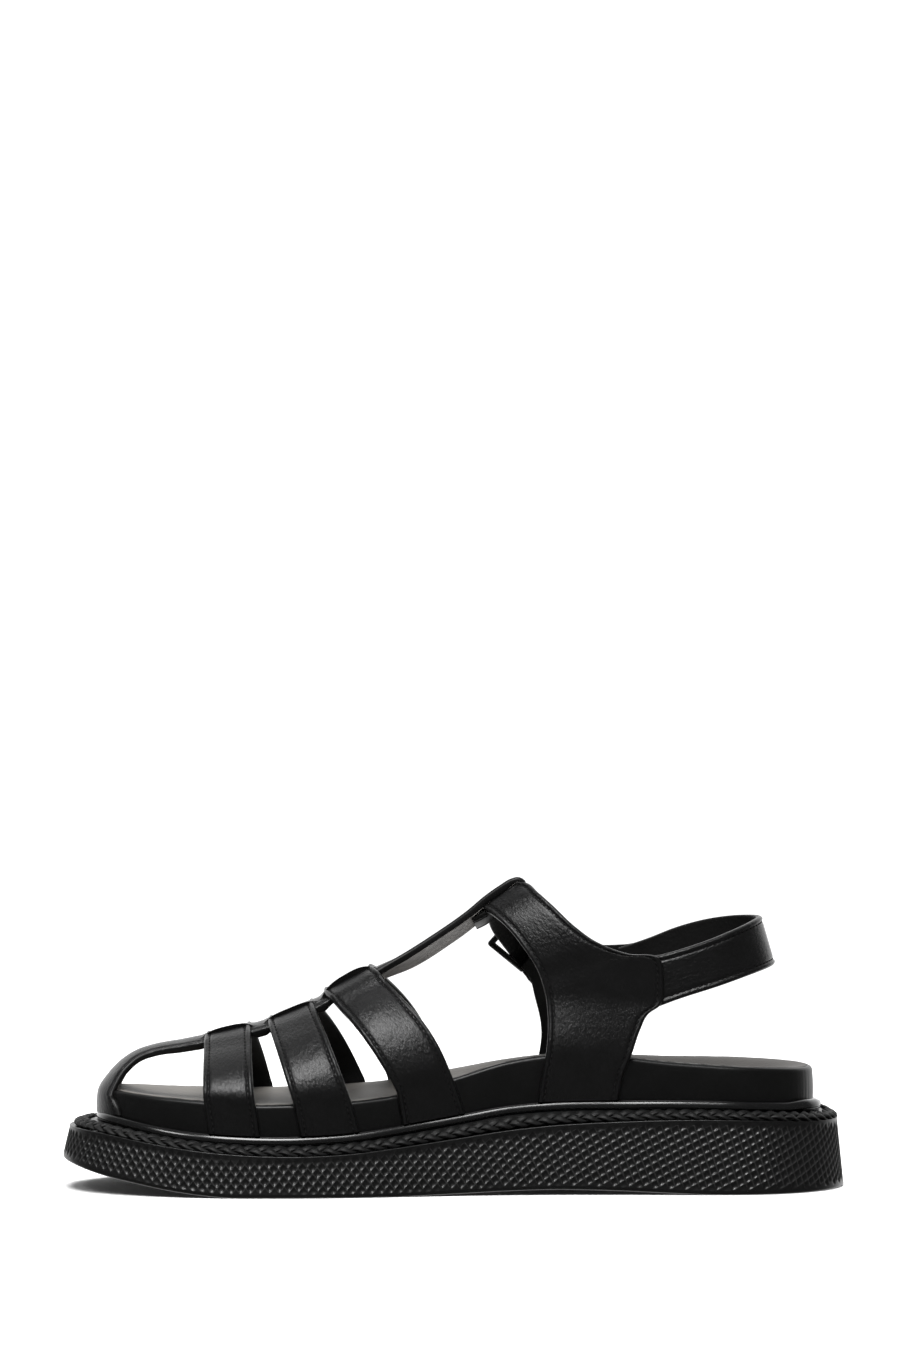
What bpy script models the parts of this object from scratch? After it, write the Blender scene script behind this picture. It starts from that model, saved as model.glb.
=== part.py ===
"""Strappy leather sandal for the right foot: a rubber unit sole with a plaited trim and a smooth welt,
a thick contoured footbed with an insole, and an upper of straps joined where they cross, closed by a
buckle on its outer side. The toe points along -X and the inner side faces -Y."""

import math
from collections import namedtuple

import bmesh
import bpy
import numpy as np
from mathutils import Matrix, Vector

# Driving sizes in millimetres. A station is a distance behind the outsole's toe tip.
MM = 0.001
GAP = 0.3  # between pieces that touch
FOOTBED_TOE, FOOTBED_HEEL = 14.9, 264.5
TOE_ROUND, TOE_FULLNESS = 55.0, 2.3  # length and fullness of the outline's rounded toe
HEEL_ROUND, HEEL_FULLNESS = 33.0, 2.2
STATIONS = 32  # rows along the sole

# Outsole: overhang past the footbed's side, flare below the rim, rim and foot bands
RIM_OVERHANG = 8.7
TOE_OVERHANG = 3.6  # further out at the toe
FLARE = 2.2
RIM_WIDTH, RIM_DROP, RIM_STEP = 1.1, 1.4, 0.5
FOOT_BAND, FOOT_STEP, FOOT_CHAMFER = 2.6, 0.5, 0.8
RIM_GROOVE = 0.5  # depth of the seat inside the rim

WELT_HEIGHT = 2.9
BRAID_RISE, BRAID_RISE_HEEL = 1.5, 0.8  # thickness of the plaited trim on the sole's shoulder
BRAID_SWELL, BRAID_PITCH = 0.5, 4.7
BED_ROUND = 1.6  # rounding of the footbed's top edge
INSOLE_INSET, INSOLE_THICK, INSOLE_SEAT = 1.8, 1.2, 0.9  # seat: depth below the footbed's edge
INSOLE_ROUND = 0.6
CUP_FULLNESS = 2.4  # how evenly the footbed's hollow spreads across it

# Upper
LEATHER = 2.0  # thickness of every strap
LAP = 0.5  # depth to which crossing straps are pressed together
ARCH_FULLNESS = 0.45  # 0 pulls a cross strap straight from ridge to side, 0.7 is an ellipse
SHOULDER = 1.0  # height above the footbed's edge where a cross strap leaves its side
SIDE_TURN = 0.8  # share of a cross strap's rows above that height
SLIT, SLIT_WIDTH = 0.6, 0.08  # a T-bar's slits, as shares of its half width
SLIT_RUN, SLIT_FULLNESS = 2.0, 2.6  # a slit's length past its strap, and how level its bridge is
RISE_FROM, RISE_OVER = 0.1, 0.6  # a cross strap's rise out of a slit, in half widths of the T-bar
FALL_TO, FALL_OVER = 1.9, 0.8

# Buckle
FRAME_WIDTH, FRAME_LENGTH = 26.0, 19.0
FRAME_BAR, FRAME_THICK, FRAME_CORNER, FRAME_CHAMFER = 2.6, 1.5, 1.6, 0.35
FRAME_TILT = 5.0  # degrees, its rear bar toward the foot
PRONG_WIDTH, PRONG_THICK, PRONG_LENGTH, PRONG_START, PRONG_ROUND = 2.4, 1.3, 8.8, -10.3, 0.7

Plan = namedtuple("Plan", "station axis half")
PLAN = [
    Plan(14.9, -6.0, 35.0),
    Plan(40.0, -4.2, 37.8),
    Plan(62.0, -2.2, 41.0),
    Plan(82.0, -0.4, 42.8),
    Plan(102.0, 1.2, 42.4),
    Plan(130.0, 2.8, 38.2),
    Plan(160.0, 2.8, 34.0),
    Plan(190.0, 1.8, 31.9),
    Plan(220.0, 0.6, 31.3),
    Plan(245.0, 0.0, 31.0),
    Plan(264.5, 0.0, 30.5),
]

# Heights above the floor, on the inner (medial) side; the outer side is lower by its own columns.
Level = namedtuple("Level", "station tread rim welt bed rim_drop bed_drop cup")
LEVELS = [
    Level(0.0, 10.5, 22.1, 26.5, 35.7, 0.0, 0.0, 0.6),
    Level(14.3, 6.8, 21.0, 25.7, 35.3, 0.0, 0.0, 0.8),
    Level(27.0, 4.4, 19.1, 24.3, 34.1, 0.1, 0.4, 1.2),
    Level(39.0, 2.3, 17.3, 22.7, 33.3, 0.1, 0.8, 1.4),
    Level(52.0, 0.7, 15.7, 21.3, 32.4, 0.1, 0.7, 1.5),
    Level(62.0, 0.0, 14.9, 20.7, 31.5, 0.1, 0.3, 1.5),
    Level(84.0, 0.0, 14.2, 20.4, 31.5, 0.1, 0.2, 1.6),
    Level(104.0, 0.0, 15.1, 21.6, 32.5, 0.3, 0.2, 1.8),
    Level(116.0, 0.0, 16.5, 23.3, 33.9, 0.6, 0.3, 2.2),
    Level(139.0, 0.7, 19.7, 27.1, 40.3, 1.1, 2.3, 3.2),
    Level(156.0, 1.4, 22.2, 30.1, 45.3, 1.7, 4.0, 4.0),
    Level(172.0, 1.8, 23.9, 31.5, 47.7, 1.9, 4.4, 4.4),
    Level(196.0, 1.3, 25.2, 31.9, 47.0, 1.9, 3.6, 4.6),
    Level(214.0, 0.5, 25.8, 32.0, 45.1, 1.5, 2.2, 4.6),
    Level(228.0, 0.0, 25.9, 31.8, 44.1, 1.1, 1.3, 4.4),
    Level(250.0, 0.0, 25.3, 31.0, 42.8, 0.4, 0.4, 3.4),
    Level(264.5, 0.0, 24.5, 30.1, 42.0, 0.0, 0.0, 2.4),
    Level(275.0, 0.0, 24.1, 29.7, 41.8, 0.0, 0.0, 2.0),
]

# Section of the welt: distance out from the footbed, share of its height
Bead = namedtuple("Bead", "reach rise")
WELT_PROFILE = [
    Bead(GAP, 0.0),
    Bead(2.7, 0.0),
    Bead(2.7, 0.45),
    Bead(2.1, 1.0),
    Bead(GAP, 1.0),
]
WELT_FOOT = max(bead.reach for bead in WELT_PROFILE)

# Section of the plaited trim: share of the way up the shoulder, share of its thickness, which strand swells
Plait = namedtuple("Plait", "up rise beat")
BRAID_PROFILE = [
    Plait(0.05, 0.0, 0.0),
    Plait(0.24, 1.0, 1.0),
    Plait(0.72, 1.0, -1.0),
    Plait(0.95, 0.0, 0.0),
]

# T-bar: it rises from the toe along the ridge, passes over the ankle strap and folds back beneath it.
# Crown is the radius across it, roll turns its inner edge up.
Bar = namedtuple("Bar", "station height across half crown roll thick")
TOE_BAR = [
    Bar(12.0, 26.3, -6.0, 23.5, 37.0, 0.0, 1.7),
    Bar(12.0, 30.6, -6.0, 21.6, 36.0, 0.0, 1.7),
    Bar(12.5, 34.1, -6.0, 19.2, 34.0, 0.0, 1.2),
    Bar(15.7, 39.2, -6.0, 16.2, 30.0, 0.0, 1.5),
    Bar(20.3, 44.1, -6.0, 13.4, 26.0, 0.0, 2.0),
    Bar(26.2, 47.9, -6.0, 10.8, 23.0, 0.0, 2.0),
    Bar(32.9, 50.0, -5.9, 9.6, 20.0, 0.0, 2.0),
    Bar(42.0, 51.6, -5.7, 9.2, 16.0, 0.0, 2.0),
    Bar(50.0, 53.2, -5.5, 9.4, 14.0, 0.0, 2.0),
    Bar(60.0, 55.5, -5.2, 9.5, 14.0, 0.0, 2.0),
    Bar(70.0, 58.0, -4.8, 9.9, 13.5, 0.0, 2.0),
    Bar(80.0, 61.7, -4.3, 10.5, 13.0, 0.0, 2.0),
    Bar(89.5, 66.0, -3.7, 10.9, 12.8, 0.0, 2.0),
    Bar(100.0, 71.7, -3.0, 10.0, 14.0, 2.0, 2.0),
    Bar(110.5, 76.8, -2.2, 9.2, 18.0, 8.0, 2.0),
    Bar(121.0, 81.0, -1.5, 8.2, 26.0, 15.0, 2.0),
    Bar(133.0, 88.0, -1.0, 7.5, 40.0, 17.0, 2.0),
    Bar(143.8, 96.0, -1.0, 7.3, 40.0, 15.0, 2.4),
]
BAR_LOOP = [
    Bar(149.2, 101.2, -1.0, 7.2, 36.0, 12.0, 2.9),
    Bar(154.6, 105.0, -1.0, 7.2, 36.0, 12.0, 2.9),
    Bar(158.6, 107.1, -1.0, 7.2, 36.0, 12.0, 2.6),
    Bar(161.4, 107.5, -1.0, 7.2, 36.0, 12.0, 2.0),
    Bar(163.3, 106.3, -1.0, 7.2, 36.0, 12.0, 2.0),
    Bar(163.7, 104.1, -1.0, 7.2, 36.0, 12.0, 2.0),
    Bar(162.4, 102.0, -1.0, 7.2, 36.0, 12.0, 2.0),
    Bar(157.0, 98.4, -1.0, 7.2, 36.0, 12.0, 2.0),
    Bar(152.0, 95.3, -1.0, 7.2, 36.0, 12.0, 2.0),
    Bar(148.5, 93.7, -1.0, 7.2, 36.0, 13.0, 2.0),
    Bar(145.5, 92.5, -1.0, 7.2, 38.0, 15.0, 2.0),
]
BAR_ROWS, LOOP_ROWS = 35, 20

RIDGE = TOE_BAR[5:]  # rows along the ridge of the foot

# Cross straps: stations of the front and rear edge at the ridge, at the footbed's edge and at the welt.
# Lateral shifts the outer side's end back, bow swells the strap back half-way up, bridge is the T-bar's
# rise over it.
Cross = namedtuple(
    "Cross", "ridge_front ridge_rear side_front side_rear foot_front foot_rear lateral bow bridge"
)
CROSS_STRAPS = [
    Cross(50.3, 66.4, 51.0, 69.2, 52.8, 71.0, 2.9, 0.0, 1.0),
    Cross(72.1, 88.1, 82.3, 102.3, 84.9, 105.4, 3.4, 0.2, 0.6),
    Cross(92.0, 109.2, 118.4, 137.4, 120.3, 141.8, -0.5, 1.2, 2.0),
]

# Quarters and ankle strap: side view of the front and the rear edge, from the welt up to the crest.
Fan = namedtuple("Fan", "front front_height rear rear_height")
MEDIAL_QUARTER = [
    Fan(167.2, 31.9, 195.2, 32.2),
    Fan(168.2, 38.5, 196.7, 40.3),
    Fan(169.7, 46.7, 199.9, 48.4),
    Fan(170.5, 54.1, 202.8, 56.7),
    Fan(170.6, 60.6, 205.8, 62.3),
    Fan(170.2, 65.6, 210.2, 65.5),
    Fan(169.6, 69.1, 211.0, 71.1),
    Fan(168.6, 72.6, 209.0, 81.7),
    Fan(167.6, 75.5, 199.0, 82.8),
    Fan(165.6, 79.3, 188.4, 86.7),
    Fan(162.0, 84.6, 180.0, 92.5),
    Fan(157.4, 90.4, 172.6, 99.0),
    Fan(153.4, 94.9, 166.8, 103.3),
    Fan(150.6, 97.7, 162.7, 106.1),
]
CREST = Fan(149.2, 98.8, 160.6, 106.8)
LATERAL_STRAP = [
    Fan(149.3, 96.8, 161.7, 105.9),
    Fan(149.0, 93.2, 162.6, 103.3),
    Fan(149.6, 88.3, 164.2, 99.9),
    Fan(152.2, 83.3, 165.8, 97.3),
    Fan(158.2, 77.8, 170.8, 92.4),
    Fan(165.4, 72.2, 177.8, 86.7),
    Fan(172.8, 66.2, 185.2, 80.8),
    Fan(180.2, 60.4, 192.6, 75.0),
    Fan(186.0, 56.2, 198.0, 70.4),
    Fan(190.6, 54.8, 199.8, 65.6),
    Fan(194.4, 56.2, 198.6, 61.2),
]
LATERAL_QUARTER = [
    Fan(167.2, 30.0, 195.2, 30.3),
    Fan(168.0, 38.5, 196.7, 40.3),
    Fan(169.1, 46.7, 199.9, 48.4),
    Fan(169.3, 52.3, 202.8, 56.7),
    Fan(168.6, 57.6, 205.8, 62.3),
    Fan(167.4, 62.1, 210.2, 66.5),
    Fan(166.6, 65.1, 211.0, 73.1),
    Fan(166.0, 67.8, 209.0, 83.9),
    Fan(165.4, 69.8, 199.0, 83.0),
    Fan(164.8, 71.4, 189.0, 83.0),
    Fan(163.6, 73.1, 180.6, 85.6),
    Fan(161.4, 75.3, 174.0, 89.9),
]
ANKLE_RIDGE = [(100.0, 70.1), (125.0, 83.7), (149.2, 98.8), (160.8, 107.0), (180.0, 120.6)]
RIDGE_ACROSS = -8.0  # the ankle's ridge lies to the inner side
ANKLE_CENTRE = 198.0
ANKLE_HALF, ANKLE_HALF_HIGH, ANKLE_LOW, ANKLE_HIGH = 30.5, 28.0, 62.0, 105.0
ANKLE_BLEND = 22.0  # height over which a quarter leaves the footbed's outline
FRONT_FULLNESS, REAR_FULLNESS = 2.0, 2.4
HEEL_BACK, HEEL_BACK_HEIGHT, HEEL_BACK_LEAN = 252.6, 78.1, 0.29

# Heel strap: heights of its lower and upper edge, from inside the inner quarter round to the outer one.
Sling = namedtuple("Sling", "station low high outer_rise")
HEEL_STRAP = [
    Sling(197.0, 61.3, 80.7, 1.5),
    Sling(209.0, 64.7, 83.5, 1.5),
    Sling(218.0, 67.8, 86.7, 1.4),
    Sling(229.0, 71.0, 90.5, 1.2),
    Sling(242.0, 74.9, 94.0, 0.3),
    Sling(252.6, 77.6, 94.9, 0.0),
]
SLING_SINK = 1.3  # depth of the heel strap's face below the quarters'
SLING_ROWS, SLING_COLUMNS = 22, 4

# Rise of the ankle strap along its outer end: under the buckle's front bar, over its rear bar, on the quarter.
Rise = namedtuple("Rise", "run lift")
STRAP_RISE = [
    Rise(0.0, 0.0),
    Rise(34.5, 0.0),
    Rise(46.0, 4.4),
    Rise(50.0, 5.1),
    Rise(61.0, 1.7),
    Rise(100.0, 1.7),
]
BUCKLE_RUN = 40.0  # from the crest to the buckle's middle


def cubic(knots, values, at):
    """Smooth curve through the knots, held level past both ends."""
    knots, values = np.asarray(knots, float), np.asarray(values, float)
    at = np.clip(np.asarray(at, float), knots[0], knots[-1])
    slopes = np.gradient(values, knots, axis=0)
    cell = np.clip(np.searchsorted(knots, at) - 1, 0, len(knots) - 2)
    span = knots[cell + 1] - knots[cell]
    u = (at - knots[cell]) / span
    if values.ndim > 1:
        span, u = span[..., None], u[..., None]
    start, end = values[cell], values[cell + 1]
    return (
        start * (1 + 2 * u) * (1 - u) ** 2
        + slopes[cell] * span * u * (1 - u) ** 2
        + end * u**2 * (3 - 2 * u)
        - slopes[cell + 1] * span * u**2 * (1 - u)
    )


def column(table, name, station):
    return cubic([row.station for row in table], [getattr(row, name) for row in table], station)


def ease(share):
    share = np.clip(share, 0.0, 1.0)
    return share * share * (3.0 - 2.0 * share)


def rounded_end(distance, length, fullness):
    reach = np.clip(distance / length, 0.0, 1.0)
    return (1.0 - (1.0 - reach) ** fullness) ** (1.0 / fullness)


def half_width(station):
    toe = rounded_end(station - FOOTBED_TOE, TOE_ROUND, TOE_FULLNESS)
    heel = rounded_end(FOOTBED_HEEL - station, HEEL_ROUND, HEEL_FULLNESS)
    return column(PLAN, "half", station) * toe * heel


def footbed_outline():
    """Plan points of the footbed's side: toe tip, inner side to the heel, outer side back to the toe."""
    turn = np.linspace(0.0, math.pi, STATIONS + 1)
    station = FOOTBED_TOE + (FOOTBED_HEEL - FOOTBED_TOE) * (1.0 - np.cos(turn)) / 2.0
    axis, half = column(PLAN, "axis", station), half_width(station)
    inner = np.column_stack([station, axis - half])
    outer = np.column_stack([station, axis + half])[-2:0:-1]
    return np.vstack([inner, outer])


OUTLINE = footbed_outline()
ALONG = np.roll(OUTLINE, -1, axis=0) - np.roll(OUTLINE, 1, axis=0)
OUTWARD = np.column_stack([ALONG[:, 1], -ALONG[:, 0]]) / np.linalg.norm(ALONG, axis=1)[:, None]
OUTER_SHARE = np.where(np.arange(len(OUTLINE)) <= STATIONS, 0.0, 1.0)
OUTER_SHARE[[0, STATIONS]] = 0.5


def ring(offset, toe_extra=0.0):
    """The footbed's outline moved outward, with more at the toe."""
    reach = offset + toe_extra * np.clip(-OUTWARD[:, 0], 0.0, 1.0) ** 2
    return OUTLINE + OUTWARD * reach[:, None]


def level(name, station, outer=0.0):
    """A height of the sole, between its inner side (outer 0) and its outer side (outer 1)."""
    drop = {"rim": "rim_drop", "welt": "rim_drop", "bed": "bed_drop"}.get(name)
    height = np.maximum(column(LEVELS, name, station), 0.0)
    return height if drop is None else height - outer * column(LEVELS, drop, station)


def at_level(plan, name, above=0.0):
    return np.column_stack([plan, level(name, plan[:, 0], OUTER_SHARE) + above])


BASE_SPAN = ring(RIM_OVERHANG + FLARE, TOE_OVERHANG)
MIDDLE = np.append((BASE_SPAN.max(axis=0) + BASE_SPAN.min(axis=0)) / 2.0, 0.0)


def world(points):
    """Station, across and height in millimetres to the part's own frame in metres."""
    return (np.asarray(points, float) - MIDDLE) * MM


def material(name, colour, roughness, metallic=0.0):
    made = bpy.data.materials.new(name)
    made.use_nodes = True
    shader = made.node_tree.nodes["Principled BSDF"]
    shader.inputs["Base Color"].default_value = (*colour, 1.0)
    shader.inputs["Roughness"].default_value = roughness
    shader.inputs["Metallic"].default_value = metallic
    return made


def add_object(name, points, faces, surface):
    mesh = bpy.data.meshes.new(name)
    mesh.from_pydata(world(points).tolist(), [], faces)
    shape = bmesh.new()
    shape.from_mesh(mesh)
    bmesh.ops.recalc_face_normals(shape, faces=shape.faces)
    shape.to_mesh(mesh)
    shape.free()
    mesh.materials.append(surface)
    made = bpy.data.objects.new(name, mesh)
    bpy.context.scene.collection.objects.link(made)
    return made


def cap_rows(edge, shares, lifted):
    """Rows of points between the two sides of an edge ring; lifted gives their height."""
    rows = []
    for row in range(1, STATIONS):
        near, far = edge[row], edge[-row]
        between = np.array([near + (far - near) * share for share in shares])
        between[:, 2] = lifted(between, near, far, shares)
        rows.append(between)
    return rows


def solid_of_rings(name, rings, bottom, top, surface):
    """Closed solid: rings joined upward, its two ends closed by rows across. Bottom and top are
    (shares across, height function)."""
    count = len(OUTLINE)
    points = list(np.vstack(rings))
    faces = []
    for k in range(len(rings) - 1):
        for i in range(count):
            j = (i + 1) % count
            faces.append((k * count + i, k * count + j, (k + 1) * count + j, (k + 1) * count + i))
    for base, (shares, lifted) in ((0, bottom), ((len(rings) - 1) * count, top)):
        edge = rings[base // count]
        lines = [[base]]
        for row, between in enumerate(cap_rows(edge, shares, lifted), 1):
            first = len(points)
            points.extend(between)
            lines.append([base + row, *range(first, first + len(between)), base + count - row])
        lines.append([base + STATIONS])
        for one, two in zip(lines[:-1], lines[1:]):
            if len(one) == 1:
                faces += [(one[0], two[c], two[c + 1]) for c in range(len(two) - 1)]
            elif len(two) == 1:
                faces += [(one[c], two[0], one[c + 1]) for c in range(len(one) - 1)]
            else:
                faces += [(one[c], two[c], two[c + 1], one[c + 1]) for c in range(len(one) - 1)]
    return add_object(name, np.array(points), faces, surface)


def solid_of_band(name, bands, surface):
    """Closed solid running round the shoe, from rings that make up its cross-section."""
    count = len(bands[0])
    points = np.vstack(bands)
    faces = []
    for k in range(len(bands)):
        following = (k + 1) % len(bands)
        for i in range(count):
            j = (i + 1) % count
            faces.append((k * count + i, k * count + j, following * count + j, following * count + i))
    return add_object(name, points, faces, surface)


def flat_between(between, near, far, shares):
    return near[2] + (far[2] - near[2]) * np.asarray(shares)


def make_outsole(rubber):
    base = RIM_OVERHANG + FLARE
    seat = RIM_OVERHANG - RIM_WIDTH
    rings = [
        at_level(ring(base - FOOT_CHAMFER, TOE_OVERHANG), "tread"),
        at_level(ring(base, TOE_OVERHANG), "tread", FOOT_CHAMFER),
        at_level(ring(base, TOE_OVERHANG), "tread", FOOT_BAND),
        at_level(ring(base - FOOT_STEP, TOE_OVERHANG), "tread", FOOT_BAND + FOOT_STEP),
        at_level(ring(RIM_OVERHANG - RIM_STEP, TOE_OVERHANG), "rim", -RIM_DROP - RIM_STEP),
        at_level(ring(RIM_OVERHANG, TOE_OVERHANG), "rim", -RIM_DROP),
        at_level(ring(RIM_OVERHANG, TOE_OVERHANG), "rim"),
        at_level(ring(seat, TOE_OVERHANG), "rim"),
        at_level(ring(seat - RIM_GROOVE, TOE_OVERHANG), "rim", -RIM_GROOVE),
        at_level(ring(WELT_FOOT + GAP), "welt", -WELT_HEIGHT - GAP),
    ]
    return solid_of_rings(
        "outsole", rings, ((0.25, 0.5, 0.75), flat_between), ((0.5,), flat_between), rubber
    )


def bed_height(between, near, far, shares):
    """Contoured top: raised along its edges, lowest along the middle."""
    shares = np.asarray(shares)
    cup = column(LEVELS, "cup", between[:, 0]) * (1.0 - np.abs(2.0 * shares - 1.0) ** CUP_FULLNESS)
    return near[2] + (far[2] - near[2]) * shares - cup


CUP_SHARES = (0.08, 0.27, 0.5, 0.73, 0.92)


def make_footbed(leather):
    corner = BED_ROUND * (1.0 - math.sqrt(0.5))
    rings = [
        at_level(ring(0.0), "welt", -WELT_HEIGHT),
        at_level(ring(0.0), "bed", -BED_ROUND),
        at_level(ring(-corner), "bed", -corner),
        at_level(ring(-BED_ROUND), "bed"),
        at_level(ring(-BED_ROUND - INSOLE_INSET + GAP), "bed", -INSOLE_SEAT),
    ]
    return solid_of_rings("footbed", rings, ((0.5,), flat_between), (CUP_SHARES, bed_height), leather)


def make_insole(suede):
    edge = ring(-BED_ROUND - INSOLE_INSET)
    under = at_level(edge, "bed", GAP - INSOLE_SEAT)
    rim = at_level(edge, "bed", INSOLE_THICK - INSOLE_SEAT)
    over = at_level(ring(-BED_ROUND - INSOLE_INSET - INSOLE_ROUND), "bed", GAP + INSOLE_THICK - INSOLE_SEAT)
    rings = [under, rim, over]
    return solid_of_rings("insole", rings, (CUP_SHARES, bed_height), (CUP_SHARES, bed_height), suede)


def make_welt(leather):
    """Smooth bead round the footbed's foot, wider below than above."""
    bands = [at_level(ring(bead.reach), "welt", (bead.rise - 1.0) * WELT_HEIGHT) for bead in WELT_PROFILE]
    return solid_of_band("welt", bands, leather)


def resampled(plan, count):
    """A closed ring of points with even spacing."""
    closed = np.vstack([plan, plan[:1]])
    run = np.concatenate([[0.0], np.cumsum(np.linalg.norm(np.diff(closed[:, :2], axis=0), axis=1))])
    at = np.linspace(0.0, run[-1], count, endpoint=False)
    return np.column_stack([np.interp(at, run, closed[:, k]) for k in range(closed.shape[1])])


def make_braid(leather):
    """Plaited trim on the sole's sloping shoulder: its two rows of strands swell in turn."""
    seat = RIM_OVERHANG - RIM_WIDTH - RIM_GROOVE
    low = at_level(ring(seat - GAP, TOE_OVERHANG), "rim", -RIM_GROOVE)
    high = at_level(ring(WELT_FOOT + 2.0 * GAP), "welt", -WELT_HEIGHT - GAP)
    length = np.linalg.norm(np.diff(np.vstack([low, low[:1]]), axis=0), axis=1).sum()
    count = 2 * round(length / BRAID_PITCH)
    low, high = resampled(low, count), resampled(high, count)
    slope = high - low
    heelward = np.clip(-slope[:, :1] / np.linalg.norm(slope, axis=1)[:, None], 0.0, 1.0)
    thick = BRAID_RISE + (BRAID_RISE_HEEL - BRAID_RISE) * heelward
    off = np.cross(np.cross(slope, [0.0, 0.0, 1.0]), slope)
    off = np.sign(off[:, 2:3]) * off / np.linalg.norm(off, axis=1)[:, None]
    beat = np.where(np.arange(count) % 2 == 0, 1.0, -1.0)[:, None] * BRAID_SWELL
    bands = [
        low + slope * plait.up + off * np.maximum(GAP, plait.rise * thick + plait.beat * beat)
        for plait in BRAID_PROFILE
    ]
    return solid_of_band("braid_trim", bands, leather)


def facing(grid):
    """Unit normals of a grid of points, by its neighbours along both ways."""
    down, over = np.gradient(grid, axis=0), np.gradient(grid, axis=1)
    normal = np.cross(over, down)
    return normal / np.linalg.norm(normal, axis=2)[..., None]


def slab(name, face, normal, lift, thickness, surface):
    """Closed strap: its outer face raised by lift, its inner face one thickness below."""
    rows, columns = face.shape[:2]
    outer = face + normal * np.broadcast_to(lift, (rows, columns))[..., None]
    inner = outer - normal * np.broadcast_to(thickness, (rows, columns))[..., None]
    points = np.vstack([outer.reshape(-1, 3), inner.reshape(-1, 3)])
    under = rows * columns
    faces = []
    for r in range(rows - 1):
        for c in range(columns - 1):
            a, b = r * columns + c, (r + 1) * columns + c
            faces.append((a, a + 1, b + 1, b))
            faces.append((under + a, under + b, under + b + 1, under + a + 1))
    edge = [(0, c) for c in range(columns)] + [(r, columns - 1) for r in range(1, rows)]
    edge += [(rows - 1, c) for c in range(columns - 2, -1, -1)] + [(r, 0) for r in range(rows - 2, 0, -1)]
    flat = [r * columns + c for r, c in edge]
    for one, two in zip(flat, flat[1:] + flat[:1]):
        faces.append((one, under + one, under + two, two))
    return add_object(name, points, faces, surface)


def bar_path():
    """Rows along the T-bar's smooth path, closer together in its loop."""
    values = np.array(TOE_BAR + BAR_LOOP, float)
    step = np.linalg.norm(np.diff(values[:, :2], axis=0), axis=1)
    run = np.concatenate([[0.0], np.cumsum(step)])
    bend = run[len(TOE_BAR)]
    at = np.append(np.linspace(0.0, bend, BAR_ROWS), np.linspace(bend, run[-1], LOOP_ROWS)[1:])
    return [Bar(*row) for row in cubic(run, values, at)]


BAR_SHARES = np.array([0.0, SLIT / 2.0, SLIT, SLIT + SLIT_WIDTH, 1.0])
BAR_SHARES = np.append(-BAR_SHARES[:0:-1], BAR_SHARES)


def bar_grid(rows):
    """Face and normals of the T-bar from its path rows."""
    path = np.array([[row.station, row.height] for row in rows])
    along = np.gradient(path, axis=0)
    along /= np.linalg.norm(along, axis=1)[:, None]
    face, normal = [], []
    for row, (forward, upward) in zip(rows, along):
        roll = math.radians(row.roll)
        up = np.array([-upward, 0.0, forward])
        side = np.array([0.0, math.cos(roll), 0.0]) - up * math.sin(roll)
        up = up * math.cos(roll) + np.array([0.0, math.sin(roll), 0.0])
        centre = np.array([row.station, row.across, row.height])
        bend = BAR_SHARES * row.half / row.crown
        spread = np.sin(bend) * row.crown
        sag = (1.0 - np.cos(bend)) * row.crown
        face.append(centre + side * spread[:, None] - up * sag[:, None])
        normal.append(up * np.cos(bend)[:, None] + side * np.sin(bend)[:, None])
    return np.array(face), np.array(normal)


def bridge_lift(station):
    """Rise of the T-bar's middle over the cross straps that pass through its slits."""
    lift = np.zeros_like(station)
    for strap in CROSS_STRAPS:
        middle = (strap.ridge_front + strap.ridge_rear) / 2.0
        half = (strap.ridge_rear - strap.ridge_front) / 2.0 + SLIT_RUN
        share = np.clip(np.abs(station - middle) / half, 0.0, 1.0)
        lift = np.maximum(lift, strap.bridge * (1.0 - share**SLIT_FULLNESS))
    return lift


def make_toe_bar(leather):
    rows = bar_path()
    face, normal = bar_grid(rows)
    middle = (np.abs(BAR_SHARES) <= SLIT).astype(float)
    lift = bridge_lift(np.array([row.station for row in rows]))[:, None] * middle[None, :]
    return slab("toe_bar", face, normal, lift, np.array([[row.thick] for row in rows]), leather)


def conic(turn):
    """Point of a quarter arch at turn 0 (ridge) to 1 (side): (out, up), each from 0 to 1."""
    keep, weight = 1.0 - turn, 2.0 * ARCH_FULLNESS * turn * (1.0 - turn)
    total = keep * keep + weight + turn * turn
    return (weight + turn * turn) / total, (keep * keep + weight) / total


def vamp_point(station, outer, turn):
    """Point on the cross straps' outer face. Turn runs from 0 at the ridge to 1 at the welt."""
    side = half_width(station) + GAP + LEATHER
    side = column(PLAN, "axis", station) + (side if outer else -side)
    shoulder = level("bed", station, float(outer)) + SHOULDER
    ridge = column(RIDGE, "height", station)
    across = column(RIDGE, "across", station)
    if turn <= SIDE_TURN:
        out, up = conic(turn / SIDE_TURN)
        return [station, across + (side - across) * out, shoulder + (ridge - shoulder) * up]
    foot = level("welt", station, float(outer)) + GAP
    share = (turn - SIDE_TURN) / (1.0 - SIDE_TURN)
    return [station, side, shoulder + (foot - shoulder) * share]


def strap_station(strap, outer, turn, share):
    """Station of a cross strap's point: share 0 is its front edge, 1 its rear edge."""
    ridge = strap.ridge_front + (strap.ridge_rear - strap.ridge_front) * share
    shift = strap.lateral if outer else 0.0
    side = strap.side_front + (strap.side_rear - strap.side_front) * share + shift
    foot = strap.foot_front + (strap.foot_rear - strap.foot_front) * share + shift
    if turn <= SIDE_TURN:
        fall = 1.0 - conic(turn / SIDE_TURN)[1]
        return ridge + (side - ridge) * fall + 4.0 * strap.bow * fall * (1.0 - fall)
    return side + (foot - side) * (turn - SIDE_TURN) / (1.0 - SIDE_TURN)


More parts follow.
